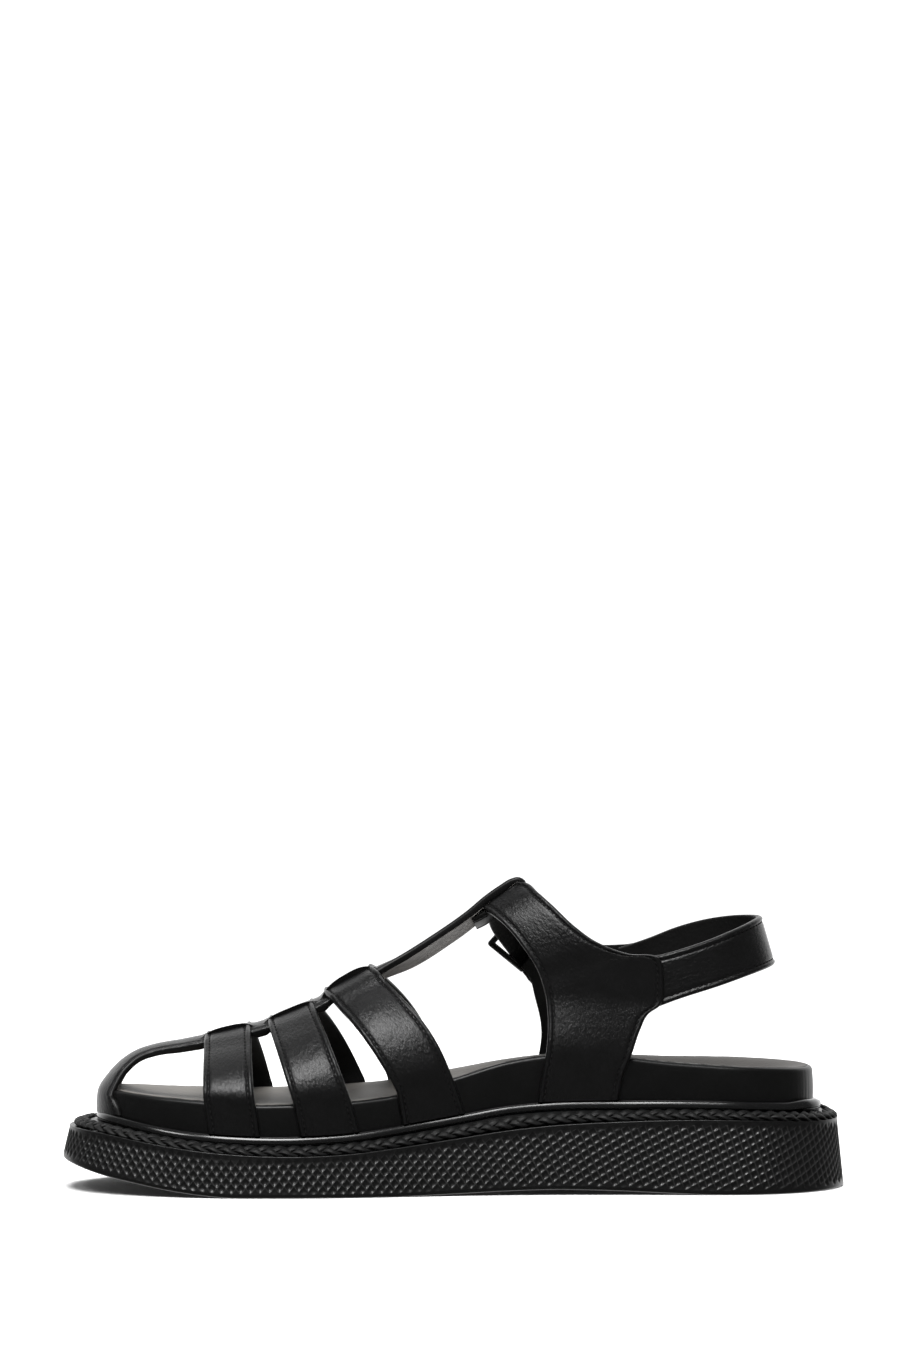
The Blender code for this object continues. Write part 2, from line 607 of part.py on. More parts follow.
STRAP_COLUMNS = 4
STRAP_TURNS = (0.0, 0.06, 0.12, 0.17, 0.22, 0.28, 0.36, 0.45, 0.54, 0.63, 0.72, 0.8, 0.9, 1.0)


def make_cross_strap(number, strap, leather):
    """Strap from welt to welt: under the T-bar's middle, over its margins, down both sides."""
    turns = [(turn, False) for turn in STRAP_TURNS[:0:-1]] + [(turn, True) for turn in STRAP_TURNS]
    shares = np.linspace(0.0, 1.0, STRAP_COLUMNS)
    face = np.array(
        [
            [vamp_point(strap_station(strap, outer, turn, share), outer, turn) for share in shares]
            for turn, outer in turns
        ]
    )
    normal = facing(face)
    normal *= np.sign(normal[len(turns) // 2, 2, 2])
    bar_half = column(RIDGE, "half", face[..., 0])
    away = np.abs(face[..., 1] - column(RIDGE, "across", face[..., 0])) / bar_half
    out_of_slit = ease((away - RISE_FROM) / RISE_OVER)
    over_margin = ease((FALL_TO - away) / FALL_OVER) * out_of_slit
    lift = (LEATHER - LAP) * over_margin + (strap.bridge - LEATHER + LAP) * (1.0 - out_of_slit)
    return slab(f"cross_strap_{number}", face, normal, lift, LEATHER, leather)


def ankle_point(station, height, outer):
    """Point on the outer face of the quarters and the ankle strap, from their side view."""
    ridge_heights = [row[1] for row in ANKLE_RIDGE]
    front = np.interp(height, ridge_heights, [row[0] for row in ANKLE_RIDGE])
    back = HEEL_BACK - HEEL_BACK_LEAN * (height - HEEL_BACK_HEIGHT)
    share = np.clip((height - ANKLE_LOW) / (ANKLE_HIGH - ANKLE_LOW), 0.0, 1.0)
    half = ANKLE_HALF + (ANKLE_HALF_HIGH - ANKLE_HALF) * share
    ahead = station < ANKLE_CENTRE
    reach = abs(station - ANKLE_CENTRE) / (ANKLE_CENTRE - front if ahead else back - ANKLE_CENTRE)
    fullness = FRONT_FULLNESS if ahead else REAR_FULLNESS
    oval = half * max(0.0, 1.0 - reach**fullness) ** (1.0 / fullness)
    axis = float(column(PLAN, "axis", station))
    if ahead:
        axis += (RIDGE_ACROSS - axis) * float(ease((min(reach, 1.0) - 0.3) / 0.7))
    bed = float(level("bed", station, float(outer)))
    blend = float(ease((height - bed) / ANKLE_BLEND))
    sign = 1.0 if outer else -1.0
    by_foot = float(column(PLAN, "axis", station)) + sign * (float(half_width(station)) + GAP + LEATHER)
    return [station, by_foot + (axis + sign * oval - by_foot) * blend, height]


def fan_grid(rows, outer, columns):
    shares = np.linspace(0.0, 1.0, columns)
    return [
        [
            ankle_point(row[0] + (row[2] - row[0]) * share, row[1] + (row[3] - row[1]) * share, outer)
            for share in shares
        ]
        for row in rows
    ]


def seated(rows, outer):
    """Sets the first row of a quarter just above the welt."""
    for edge in (0, 2):
        rows[0, edge + 1] = level("welt", rows[0, edge], float(outer)) + GAP
    return rows


def walk(table, runs):
    """Rows of a fan at given distances along its middle line, counted from its first row."""
    values = np.array(table, float)
    middle = (values[:, :2] + values[:, 2:]) / 2.0
    run = np.concatenate([[0.0], np.cumsum(np.linalg.norm(np.diff(middle, axis=0), axis=1))])
    return cubic(run, values, np.asarray(runs) * run[-1])


INNER_ROWS, OUTER_ROWS, QUARTER_ROWS, ANKLE_COLUMNS = 22, 25, 18, 5
INNER_RUNS = np.linspace(0.0, 1.0, INNER_ROWS + 1)[1:] ** 1.7  # closer rows at the crest
OUTER_RUNS = np.linspace(0.0, 1.0, OUTER_ROWS + 1)[1:] ** 1.4


def ankle_rows():
    inner = seated(walk([CREST] + MEDIAL_QUARTER[::-1], INNER_RUNS)[::-1], False)
    outer = walk([CREST] + LATERAL_STRAP, OUTER_RUNS)
    return inner, outer


def ankle_strap_grid():
    """Inner quarter, ankle strap over the crest and its end on the outer side, with the rise of each row."""
    inner, outer = ankle_rows()
    face = np.array(
        fan_grid(inner, False, ANKLE_COLUMNS)
        + fan_grid([CREST], True, ANKLE_COLUMNS)
        + fan_grid(outer, True, ANKLE_COLUMNS)
    )
    normal = facing(face)
    normal *= np.sign(normal[len(inner), 2, 2])
    middle = face[len(inner) :, :].mean(axis=1)
    run = np.concatenate([[0.0], np.cumsum(np.linalg.norm(np.diff(middle, axis=0), axis=1))])
    run = np.concatenate([np.zeros(len(inner)), run])
    lift = np.interp(run, [row.run for row in STRAP_RISE], [row.lift for row in STRAP_RISE])
    return face, normal, lift, run


def make_ankle_strap(leather):
    face, normal, lift, _ = ankle_strap_grid()
    return slab("ankle_strap", face, normal, lift[:, None], LEATHER, leather)


def make_outer_quarter(leather):
    rows = seated(walk(LATERAL_QUARTER, np.linspace(0.0, 1.0, QUARTER_ROWS)), True)
    face = np.array(fan_grid(rows, True, ANKLE_COLUMNS))
    normal = facing(face)
    normal *= np.sign(normal[2, 2, 1])
    return slab("outer_quarter", face, normal, 0.0, LEATHER, leather)


def make_heel_strap(leather):
    """Strap round the back of the heel, its ends inside the two quarters."""
    turn = np.linspace(0.0, 1.0, SLING_ROWS // 2 + 1)
    start = HEEL_STRAP[0].station
    along = start + (HEEL_BACK - start) * np.sin(turn * math.pi / 2.0)
    low, high = column(HEEL_STRAP, "low", along), column(HEEL_STRAP, "high", along)
    rise = column(HEEL_STRAP, "outer_rise", along)
    rows = []
    for outer, order in ((False, range(len(along))), (True, range(len(along) - 2, -1, -1))):
        for i in order:
            share = (along[i] - start) / (HEEL_BACK - start)
            row = []
            for height in np.linspace(low[i], high[i], SLING_COLUMNS) + (rise[i] if outer else 0.0):
                back = HEEL_BACK - HEEL_BACK_LEAN * (height - HEEL_BACK_HEIGHT)
                row.append(ankle_point(start + (back - start) * share, height, outer))
            rows.append(row)
    face = np.array(rows)
    normal = facing(face)
    normal *= np.sign(normal[len(rows) // 2, 1, 0])
    return slab("heel_strap", face, normal, -SLING_SINK, LEATHER, leather)


def make_upper(leather):
    """All straps joined where they cross."""
    upper = make_toe_bar(leather)
    upper.name = "upper"
    joined = [make_cross_strap(number, strap, leather) for number, strap in enumerate(CROSS_STRAPS, 1)]
    joined += [make_ankle_strap(leather), make_outer_quarter(leather), make_heel_strap(leather)]
    for strap in joined:
        strap.hide_render = True
        strap.display_type = "WIRE"
        union = upper.modifiers.new(f"join {strap.name}", "BOOLEAN")
        union.operation = "UNION"
        union.solver = "EXACT"
        union.use_self = True
        union.object = strap
    return upper


def buckle_seat():
    """Frame of the buckle: origin on the strap's face, X across the strap, Y toward its end, Z out."""
    face, normal, _, run = ankle_strap_grid()
    row = int(np.argmin(np.abs(run - BUCKLE_RUN)))
    along = Vector((face[row + 1] - face[row - 1]).mean(axis=0)).normalized()
    out = Vector(normal[row].mean(axis=0))
    out = (out - along * out.dot(along)).normalized()
    seat = Matrix((along.cross(out), along, out)).transposed().to_4x4()
    seat.translation = Vector(world(face[row].mean(axis=0)))
    return seat @ Matrix.Rotation(math.radians(-FRAME_TILT), 4, "X")


def placed_box(name, size, centre, corner, chamfer, seat, surface):
    """Box with its upright edges rounded and its other edges chamfered."""
    shape = bmesh.new()
    bmesh.ops.create_cube(shape, size=1.0)
    bmesh.ops.scale(shape, vec=Vector(size) * MM, verts=shape.verts)
    bmesh.ops.translate(shape, vec=Vector(centre) * MM, verts=shape.verts)
    upright = [edge for edge in shape.edges if abs(edge.verts[0].co.z - edge.verts[1].co.z) > size[2] * MM / 2.0]
    bmesh.ops.bevel(shape, geom=upright, offset=corner * MM, segments=3, profile=0.5, affect="EDGES")
    level_edges = [edge for edge in shape.edges if edge.calc_face_angle(0.0) > math.pi / 3.0]
    bmesh.ops.bevel(shape, geom=level_edges, offset=chamfer * MM, segments=1, affect="EDGES")
    mesh = bpy.data.meshes.new(name)
    shape.to_mesh(mesh)
    shape.free()
    mesh.materials.append(surface)
    made = bpy.data.objects.new(name, mesh)
    made.matrix_world = seat
    bpy.context.scene.collection.objects.link(made)
    return made


def make_buckle(metal):
    """Rectangular frame with rounded corners, and the prong that rests on its front bar."""
    seat = buckle_seat()
    outside = (FRAME_WIDTH, FRAME_LENGTH, FRAME_THICK)
    inside = (FRAME_WIDTH - 2.0 * FRAME_BAR, FRAME_LENGTH - 2.0 * FRAME_BAR, 4.0 * FRAME_THICK)
    middle = (0.0, 0.0, FRAME_THICK / 2.0)
    frame = placed_box("buckle_frame", outside, middle, FRAME_CORNER, FRAME_CHAMFER, seat, metal)
    window = placed_box("buckle_window", inside, middle, FRAME_CORNER / 2.0, FRAME_CHAMFER, seat, metal)
    window.hide_render = True
    window.display_type = "WIRE"
    cut = frame.modifiers.new("window", "BOOLEAN")
    cut.operation = "DIFFERENCE"
    cut.solver = "EXACT"
    cut.object = window
    placed_box(
        "buckle_prong",
        (PRONG_WIDTH, PRONG_LENGTH, PRONG_THICK),
        (0.0, PRONG_START + PRONG_LENGTH / 2.0, FRAME_THICK + GAP + PRONG_THICK / 2.0),
        PRONG_ROUND,
        FRAME_CHAMFER,
        seat,
        metal,
    )


def main():
    for old in list(bpy.data.objects):
        bpy.data.objects.remove(old)
    rubber = material("black moulded rubber", (0.012, 0.012, 0.013), 0.5)
    leather = material("black polished leather", (0.010, 0.010, 0.011), 0.35)
    plait = material("black plaited leather", (0.012, 0.012, 0.013), 0.4)
    bed = material("black leather cover", (0.010, 0.010, 0.011), 0.4)
    suede = material("dark grey leather insole", (0.05, 0.05, 0.052), 0.6)
    metal = material("black coated steel", (0.02, 0.02, 0.022), 0.3, 1.0)
    make_outsole(rubber)
    make_braid(plait)
    make_welt(leather)
    make_footbed(bed)
    make_insole(suede)
    make_upper(leather)
    make_buckle(metal)


main()
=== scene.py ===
import math

import bmesh
import bpy
import numpy as np
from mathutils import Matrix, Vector


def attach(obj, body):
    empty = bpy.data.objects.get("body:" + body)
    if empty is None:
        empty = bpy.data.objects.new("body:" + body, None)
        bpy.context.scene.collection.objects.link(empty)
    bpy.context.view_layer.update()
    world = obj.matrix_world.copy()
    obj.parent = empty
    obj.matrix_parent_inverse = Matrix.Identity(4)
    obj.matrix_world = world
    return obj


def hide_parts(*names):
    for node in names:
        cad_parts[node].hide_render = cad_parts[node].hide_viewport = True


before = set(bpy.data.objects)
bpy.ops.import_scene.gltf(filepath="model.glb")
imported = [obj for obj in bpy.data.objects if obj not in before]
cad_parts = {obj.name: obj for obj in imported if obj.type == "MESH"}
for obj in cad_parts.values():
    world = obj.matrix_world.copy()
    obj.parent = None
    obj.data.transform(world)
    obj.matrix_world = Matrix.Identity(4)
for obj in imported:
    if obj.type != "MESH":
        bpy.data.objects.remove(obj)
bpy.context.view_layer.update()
scene = bpy.context.scene
print("frame loaded:", ", ".join(sorted(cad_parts)))

# Shape of the last, in millimetres. A station is a distance behind the toe tip of the sole,
# across is positive on the outer side of the foot.
lastShape = {
    "middle": (137.9, 0.109),  # station and across of the part's origin
    "bedToe": 14.9,
    "bedHeel": 264.5,
    "toeRound": (55.0, 2.3),  # length and fullness of the outline's rounded toe
    "heelRound": (33.0, 2.2),
    "gap": 0.3,
    "plan": [  # station, axis, half width
        (14.9, -6.0, 35.0),
        (40.0, -4.2, 37.8),
        (62.0, -2.2, 41.0),
        (82.0, -0.4, 42.8),
        (102.0, 1.2, 42.4),
        (130.0, 2.8, 38.2),
        (160.0, 2.8, 34.0),
        (190.0, 1.8, 31.9),
        (220.0, 0.6, 31.3),
        (245.0, 0.0, 31.0),
        (264.5, 0.0, 30.5),
    ],
    "levelNames": ("station", "tread", "rim", "welt", "bed", "rimDrop", "bedDrop", "cup"),
    "levels": [  # heights on the inner side, then how far the outer side lies lower, then the hollow
        (0.0, 10.5, 22.1, 27.8, 35.7, 0.0, 0.0, 0.6),
        (14.3, 6.8, 21.0, 26.9, 35.3, 0.0, 0.0, 0.8),
        (27.0, 4.4, 19.1, 24.8, 34.1, 0.1, 0.4, 1.2),
        (39.0, 2.3, 17.3, 22.7, 33.3, 0.1, 0.8, 1.4),
        (52.0, 0.7, 15.7, 21.3, 32.4, 0.1, 0.7, 1.5),
        (62.0, 0.0, 14.9, 20.7, 31.5, 0.1, 0.3, 1.5),
        (84.0, 0.0, 14.2, 20.4, 31.5, 0.1, 0.2, 1.6),
        (104.0, 0.0, 15.1, 21.6, 32.5, 0.3, 0.2, 1.8),
        (116.0, 0.0, 16.5, 23.3, 33.9, 0.6, 0.3, 2.2),
        (139.0, 0.7, 19.7, 27.1, 40.3, 1.1, 2.3, 3.2),
        (156.0, 1.4, 22.2, 30.1, 45.3, 1.7, 4.0, 4.0),
        (172.0, 1.8, 23.9, 31.5, 47.7, 1.9, 4.4, 4.4),
        (196.0, 1.3, 25.2, 31.9, 47.0, 1.9, 3.6, 4.6),
        (214.0, 0.5, 25.8, 32.0, 45.1, 1.5, 2.2, 4.6),
        (228.0, 0.0, 25.9, 31.8, 44.1, 1.1, 1.3, 4.4),
        (250.0, 0.0, 25.3, 31.0, 42.8, 0.4, 0.4, 3.4),
        (264.5, 0.0, 24.5, 30.1, 42.0, 0.0, 0.0, 2.4),
        (275.0, 0.0, 24.1, 29.7, 41.8, 0.0, 0.0, 2.0),
    ],
}


def smoothCurve(knots, values, at):
    knots = np.asarray(knots, float)
    values = np.asarray(values, float)
    at = np.clip(np.asarray(at, float), knots[0], knots[-1])
    slopes = np.gradient(values, knots)
    cell = np.clip(np.searchsorted(knots, at) - 1, 0, len(knots) - 2)
    span = knots[cell + 1] - knots[cell]
    u = (at - knots[cell]) / span
    first = values[cell] * (1 + 2 * u) * (1 - u) ** 2 + slopes[cell] * span * u * (1 - u) ** 2
    return first + values[cell + 1] * u**2 * (3 - 2 * u) - slopes[cell + 1] * span * u**2 * (1 - u)


def ease(share):
    share = np.clip(share, 0.0, 1.0)
    return share * share * (3.0 - 2.0 * share)


def unit(vectors):
    return vectors / np.linalg.norm(vectors, axis=-1, keepdims=True)


def runAlong(points):
    return np.append(0.0, np.cumsum(np.linalg.norm(np.diff(points, axis=0), axis=1)))


def readAt(at, run, table):
    # columns of a table, read at places along its run
    return np.stack([np.interp(at, run, table[:, k]) for k in range(table.shape[1])], axis=-1)


def planColumn(index, station):
    rows = np.array(lastShape["plan"])
    return smoothCurve(rows[:, 0], rows[:, index], station)


def levelColumn(name, station):
    rows = np.array(lastShape["levels"])
    return smoothCurve(rows[:, 0], rows[:, lastShape["levelNames"].index(name)], station)


def level(name, station, outer):
    height = np.maximum(levelColumn(name, station), 0.0)
    drop = {"rim": "rimDrop", "welt": "rimDrop", "bed": "bedDrop"}.get(name)
    return height if drop is None else height - outer * levelColumn(drop, station)


def roundedEnd(distance, length, fullness):
    reach = np.clip(distance / length, 0.0, 1.0)
    return (1.0 - (1.0 - reach) ** fullness) ** (1.0 / fullness)


def halfWidth(station):
    toe = roundedEnd(station - lastShape["bedToe"], *lastShape["toeRound"])
    heel = roundedEnd(lastShape["bedHeel"] - station, *lastShape["heelRound"])
    return planColumn(2, station) * toe * heel


def outlineLoop(count):
    # evenly spaced points round the footbed: toe tip, inner side, heel, outer side
    turn = np.linspace(0.0, math.pi, 1501)
    station = lastShape["bedToe"] + (lastShape["bedHeel"] - lastShape["bedToe"]) * (1 - np.cos(turn)) / 2
    axis = planColumn(1, station)
    half = halfWidth(station)
    inner = np.column_stack([station, axis - half, np.zeros_like(station)])
    outer = np.column_stack([station, axis + half, np.ones_like(station)])[-2:0:-1]
    closed = np.vstack([inner, outer, inner[:1]])
    run = runAlong(closed[:, :2])
    table = readAt(np.linspace(0.0, run[-1], count, endpoint=False), run, closed)
    points = table[:, :2]
    along = unit(np.roll(points, -1, axis=0) - np.roll(points, 1, axis=0))
    outward = np.column_stack([along[:, 1], -along[:, 0]])
    return {"points": points, "outward": outward, "outer": table[:, 2]}


def ring(loop, offset, toeExtra=0.0):
    reach = offset + toeExtra * np.clip(-loop["outward"][:, 0], 0.0, 1.0) ** 2
    return loop["points"] + loop["outward"] * np.reshape(reach, (-1, 1))


def levelRing(loop, offset, name, above=0.0, toeExtra=0.0):
    plan = ring(loop, offset, toeExtra)
    return np.column_stack([plan, level(name, plan[:, 0], loop["outer"]) + above])


def toWorld(points):
    return (np.asarray(points, float) - np.array([*lastShape["middle"], 0.0])) * 0.001


def gridFaces(rows, columns, closedRows=False, closedColumns=False, first=0):
    r, c = np.meshgrid(
        np.arange(rows if closedRows else rows - 1),
        np.arange(columns if closedColumns else columns - 1),
        indexing="ij",
    )
    r2 = (r + 1) % rows
    c2 = (c + 1) % columns
    quads = np.stack([r * columns + c, r * columns + c2, r2 * columns + c2, r2 * columns + c], axis=-1)
    return quads.reshape(-1, 4) + first


def closedSheet(rows, columns):
    # faces of a sheet with two sides: top, underside, rim
    top = gridFaces(rows, columns)
    border = [r * columns for r in range(rows)]
    border += [(rows - 1) * columns + c for c in range(1, columns)]
    border += [r * columns + columns - 1 for r in range(rows - 2, -1, -1)]
    border += list(range(columns - 2, 0, -1))
    near = np.array(border)
    far = np.roll(near, -1)
    count = rows * columns
    return top, top[:, ::-1] + count, np.column_stack([near, far, far + count, near + count])


def addPiece(name, points, faces, materials, nodes, faceSlots=None, uv=None, sharpAngle=None,
             turn=True, weld=False):
    # one smooth mesh in the part's frame, riding on the shoe
    mesh = bpy.data.meshes.new(name)
    mesh.from_pydata(toWorld(points).tolist(), [], [tuple(int(i) for i in face) for face in faces])
    for made in materials:
        mesh.materials.append(made)
    if faceSlots is not None:
        mesh.polygons.foreach_set("material_index", np.asarray(faceSlots, np.int32))
    if uv is not None:
        layer = mesh.uv_layers.new(name="millimetres")
        corner = np.zeros(len(mesh.loops), np.int32)
        mesh.loops.foreach_get("vertex_index", corner)
        layer.data.foreach_set("uv", np.asarray(uv, np.float32)[corner].ravel())
    shape = bmesh.new()
    shape.from_mesh(mesh)
    if weld:
        bmesh.ops.remove_doubles(shape, verts=shape.verts, dist=0.00002)
    if turn:
        bmesh.ops.recalc_face_normals(shape, faces=shape.faces)
    shape.to_mesh(mesh)
    shape.free()
    mesh.shade_smooth()
    if sharpAngle:
        mesh.set_sharp_from_angle(angle=math.radians(sharpAngle))
    piece = bpy.data.objects.new(name, mesh)
    scene.collection.objects.link(piece)
    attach(piece, "root")
    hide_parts(*nodes)
    print("made", name, "with", sum(len(p.vertices) - 2 for p in mesh.polygons), "triangles")


def hexColour(text):
    parts = [int(text[i : i + 2], 16) / 255 for i in (1, 3, 5)]
    linear = [c / 12.92 if c <= 0.04045 else ((c + 0.055) / 1.055) ** 2.4 for c in parts]
    return (*linear, 1.0)


def addNode(tree, kind, settings=None, links=None):
    node = tree.nodes.new(kind)
    for key, value in (settings or {}).items():
        if isinstance(key, int) or key in node.inputs:
            node.inputs[key].default_value = value
        else:
            setattr(node, key, value)
    for key, source in (links or {}).items():
        tree.links.new(source, node.inputs[key])
    return node


def newMaterial(name, settings):
    made = bpy.data.materials.new(name)
    made.use_nodes = True
    for key, value in settings.items():
        made.node_tree.nodes["Principled BSDF"].inputs[key].default_value = value
    return made, made.node_tree


def pattern(tree, kind, size, **settings):
    # a texture in the piece's own coordinates, its features of a size in millimetres
    place = addNode(tree, "ShaderNodeTexCoord")
    made = addNode(tree, kind, {"Scale": 1000.0 / size, **settings}, {"Vector": place.outputs["Object"]})
    return made.outputs["Distance" if kind == "ShaderNodeTexVoronoi" else "Fac"]


def dress(made, relief=None, rough=None, colour=None):
    # relief: pattern, strength, depth in metres; rough and colour: pattern, low end, high end
    tree = made.node_tree
    shader = tree.nodes["Principled BSDF"]
    if relief:
        height, strength, depth = relief
        bump = addNode(tree, "ShaderNodeBump", {"Strength": strength, "Distance": depth}, {"Height": height})
        tree.links.new(bump.outputs["Normal"], shader.inputs["Normal"])
    if rough:
        worn, low, high = rough
        satin = addNode(tree, "ShaderNodeMapRange", {"To Min": low, "To Max": high}, {"Value": worn})
        tree.links.new(satin.outputs["Result"], shader.inputs["Roughness"])
    tone, *ends = colour
    ramp = addNode(tree, "ShaderNodeValToRGB", links={"Fac": tone})
    for element, text in zip(ramp.color_ramp.elements, ends):
        element.color = hexColour(text)
    tree.links.new(ramp.outputs["Color"], shader.inputs["Base Color"])
    return made


# Calf leather, drum dyed and plated: a fine creased pebble, stretched along each strap, that breaks
# the highlight into small bright threads.
strapFinish = {
    "colours": ("#040404", "#0a0a0b"),
    "roughness": (0.25, 0.37),
    "pebble": 0.85,  # millimetres across, a little coarser than real calf so that it shows
    "stretch": 1.8,
    "warp": (0.6, 1.1),  # in pebbles: how often and how far their rows wander
    "crease": 1.9,
    "cloud": 9.09,  # millimetres
    "depth": 0.00016,
}


def platedCalfLeather():
    f = strapFinish
    made, tree = newMaterial("platedCalfLeather", {"IOR": 1.5, "Coat Weight": 0.1, "Coat Roughness": 0.2})
    place = addNode(tree, "ShaderNodeUVMap", {"uv_map": "millimetres"}).outputs["UV"]
    scale = (1.0 / f["pebble"] / f["stretch"], 1.0 / f["pebble"], 1.0)
    fit = addNode(tree, "ShaderNodeMapping", {"Scale": scale}, {"Vector": place}).outputs["Vector"]
    warp = addNode(tree, "ShaderNodeTexNoise", {"Scale": f["warp"][0], "Detail": 2.0}, {"Vector": fit})
    bent = addNode(
        tree,
        "ShaderNodeVectorMath",
        {"operation": "MULTIPLY_ADD", 1: (f["warp"][1], f["warp"][1], 0.0)},
        {0: warp.outputs["Color"], 2: fit},
    )
    pebble = addNode(
        tree,
        "ShaderNodeTexVoronoi",
        {"feature": "SMOOTH_F1", "Scale": 1.0, "Smoothness": 0.55},
        {"Vector": bent.outputs["Vector"]},
    )
    crease = addNode(
        tree,
        "ShaderNodeTexNoise",
        {"Scale": f["crease"], "Detail": 3.0, "Roughness": 0.6, "Distortion": 0.8},
        {"Vector": fit},
    )
    height = addNode(
        tree,
        "ShaderNodeMath",
        {"operation": "MULTIPLY_ADD", 1: -0.8},
        {0: pebble.outputs["Distance"], 2: crease.outputs["Fac"]},
    )
    soft = {"Scale": 1.0 / f["cloud"], "Detail": 3.0}
    cloud = addNode(tree, "ShaderNodeTexNoise", soft, {"Vector": place}).outputs["Fac"]
    relief = (height.outputs["Value"], 0.9, f["depth"])
    return dress(made, relief, (cloud, *f["roughness"]), (cloud, *f["colours"]))


def inkedLeatherEdge():
    # cut edge, inked and burnished: near black, duller than the face, with faint fibre lines
    made, tree = newMaterial("inkedLeatherEdge", {"IOR": 1.48, "Roughness": 0.42})
    fibre = pattern(tree, "ShaderNodeTexNoise", 1.11, Detail=2.0)
    return dress(made, relief=(fibre, 0.3, 0.0001), colour=(fibre, "#030303", "#080808"))


def pigskinLining(name, low, high):
    # pigskin, split and drum dyed: matt, with the pores in small groups
    made, tree = newMaterial(name, {"IOR": 1.45, "Roughness": 0.6})
    pores = pattern(tree, "ShaderNodeTexVoronoi", 1.18)
    mottle = pattern(tree, "ShaderNodeTexNoise", 3.85, Detail=4.0)
    return dress(made, relief=(pores, 0.4, 0.00018), colour=(mottle, low, high))


def mouldedRubber():
    # rubber, injection moulded in a polished tool: black and satin, the ribs of its net painted grey as a
    # highlight along them
    made, tree = newMaterial("mouldedRubber", {"IOR": 1.5, "Coat Weight": 0.35, "Coat Roughness": 0.16})
    grit = pattern(tree, "ShaderNodeTexNoise", 0.556, Detail=2.0)
    bloom = pattern(tree, "ShaderNodeTexNoise", 16.7, Detail=4.0)
    fromRib = addNode(tree, "ShaderNodeUVMap", {"uv_map": "millimetres"})  # first axis: distance from a rib
    axes = addNode(tree, "ShaderNodeSeparateXYZ", links={"Vector": fromRib.outputs["UV"]})
    paintedRibHighlight = addNode(
        tree,
        "ShaderNodeMapRange",
        {"interpolation_type": "SMOOTHSTEP", "From Max": 0.32, "To Min": 1.0, "To Max": 0.0},
        {"Value": axes.outputs["X"]},
    )
    # painted highlight: the net's ribs coloured grey as if they caught the light
    tone = (paintedRibHighlight.outputs["Result"], "#040404", "#292929")
    return dress(made, (grit, 0.12, 0.0001), (bloom, 0.38, 0.48), tone)


def plaitedLeather():
    # waxed leather laces: fine lengthwise fibres, 4 mm long and 0.4 mm wide, that catch the light
    made, tree = newMaterial("plaitedLeather", {"IOR": 1.5})
    place = addNode(tree, "ShaderNodeUVMap", {"uv_map": "millimetres"}).outputs["UV"]
    scale = (1 / 4.0, 1 / 0.417, 1.0)
    fit = addNode(tree, "ShaderNodeMapping", {"Scale": scale}, {"Vector": place}).outputs["Vector"]
    fine = {"Scale": 1.0, "Detail": 3.0}
    fibre = addNode(tree, "ShaderNodeTexNoise", fine, {"Vector": fit}).outputs["Fac"]
    return dress(made, (fibre, 0.8, 0.0003), (fibre, 0.46, 0.6), (fibre, "#030303", "#090909"))


def polishedRand():
    # welt strip of smooth leather, waxed and hot ironed: the glossiest leather on the shoe
    made, tree = newMaterial("polishedRand", {"IOR": 1.5, "Coat Weight": 0.6, "Coat Roughness": 0.13})
    grain = pattern(tree, "ShaderNodeTexNoise", 1.43, Detail=4.0)
    rub = pattern(tree, "ShaderNodeTexNoise", 22.2, Detail=3.0)
    return dress(made, (grain, 0.18, 0.00012), (rub, 0.15, 0.26), (rub, "#050505", "#0b0b0c"))


def wrappedSheepLeather():
    # thin soft leather pulled over the footbed: satin, very fine grain
    made, tree = newMaterial("wrappedSheepLeather", {"IOR": 1.43})
    grain = pattern(tree, "ShaderNodeTexVoronoi", 0.667, feature="SMOOTH_F1")
    soft = pattern(tree, "ShaderNodeTexNoise", 11.1, Detail=4.0)
    return dress(made, (grain, 0.3, 0.00012), (soft, 0.3, 0.42), (soft, "#050505", "#0b0b0b"))


def buffedInsoleLeather():
    # insole cover, grain side lightly buffed: dark grey with a short nap, paler towards the toe
    settings = {"IOR": 1.45, "Roughness": 0.55, "Sheen Weight": 0.15, "Sheen Roughness": 0.4}
    made, tree = newMaterial("buffedInsoleLeather", settings)
    nap = pattern(tree, "ShaderNodeTexNoise", 1.11, Detail=4.0)
    cloud = pattern(tree, "ShaderNodeTexNoise", 18.2, Detail=5.0)
    place = addNode(tree, "ShaderNodeTexCoord")
    axes = addNode(tree, "ShaderNodeSeparateXYZ", links={"Vector": place.outputs["Object"]})
    toeward = addNode(
        tree, "ShaderNodeMapRange", {"From Min": 0.07, "From Max": -0.1}, {"Value": axes.outputs["X"]}
    )
    tone = addNode(
        tree,
        "ShaderNodeMath",
        {"operation": "MULTIPLY_ADD", 1: 0.4},
        {0: cloud, 2: toeward.outputs["Result"]},
    )
    return dress(made, relief=(nap, 0.6, 0.0002), colour=(tone.outputs["Value"], "#2c2a28", "#5b5854"))


def bondedThread():
    # bonded polyester thread, twisted and waxed: a short dull sheen along each stitch
    made, tree = newMaterial("bondedThread", {"IOR": 1.5, "Roughness": 0.75})
    twist = pattern(tree, "ShaderNodeTexWave", 0.714, Distortion=1.0)
    return dress(made, relief=(twist, 0.35, 0.0001), colour=(twist, "#020202", "#060606"))


def lacqueredSteel():
    # steel buckle, black electro-lacquer over polish: sharp small reflections
    made, tree = newMaterial("lacqueredSteel", {"Metallic": 0.6, "Coat Weight": 0.6, "Coat Roughness": 0.08})
    wear = pattern(tree, "ShaderNodeTexNoise", 4.17, Detail=5.0)
    return dress(made, rough=(wear, 0.2, 0.36), colour=(wear, "#0b0b0c", "#1c1c1e"))


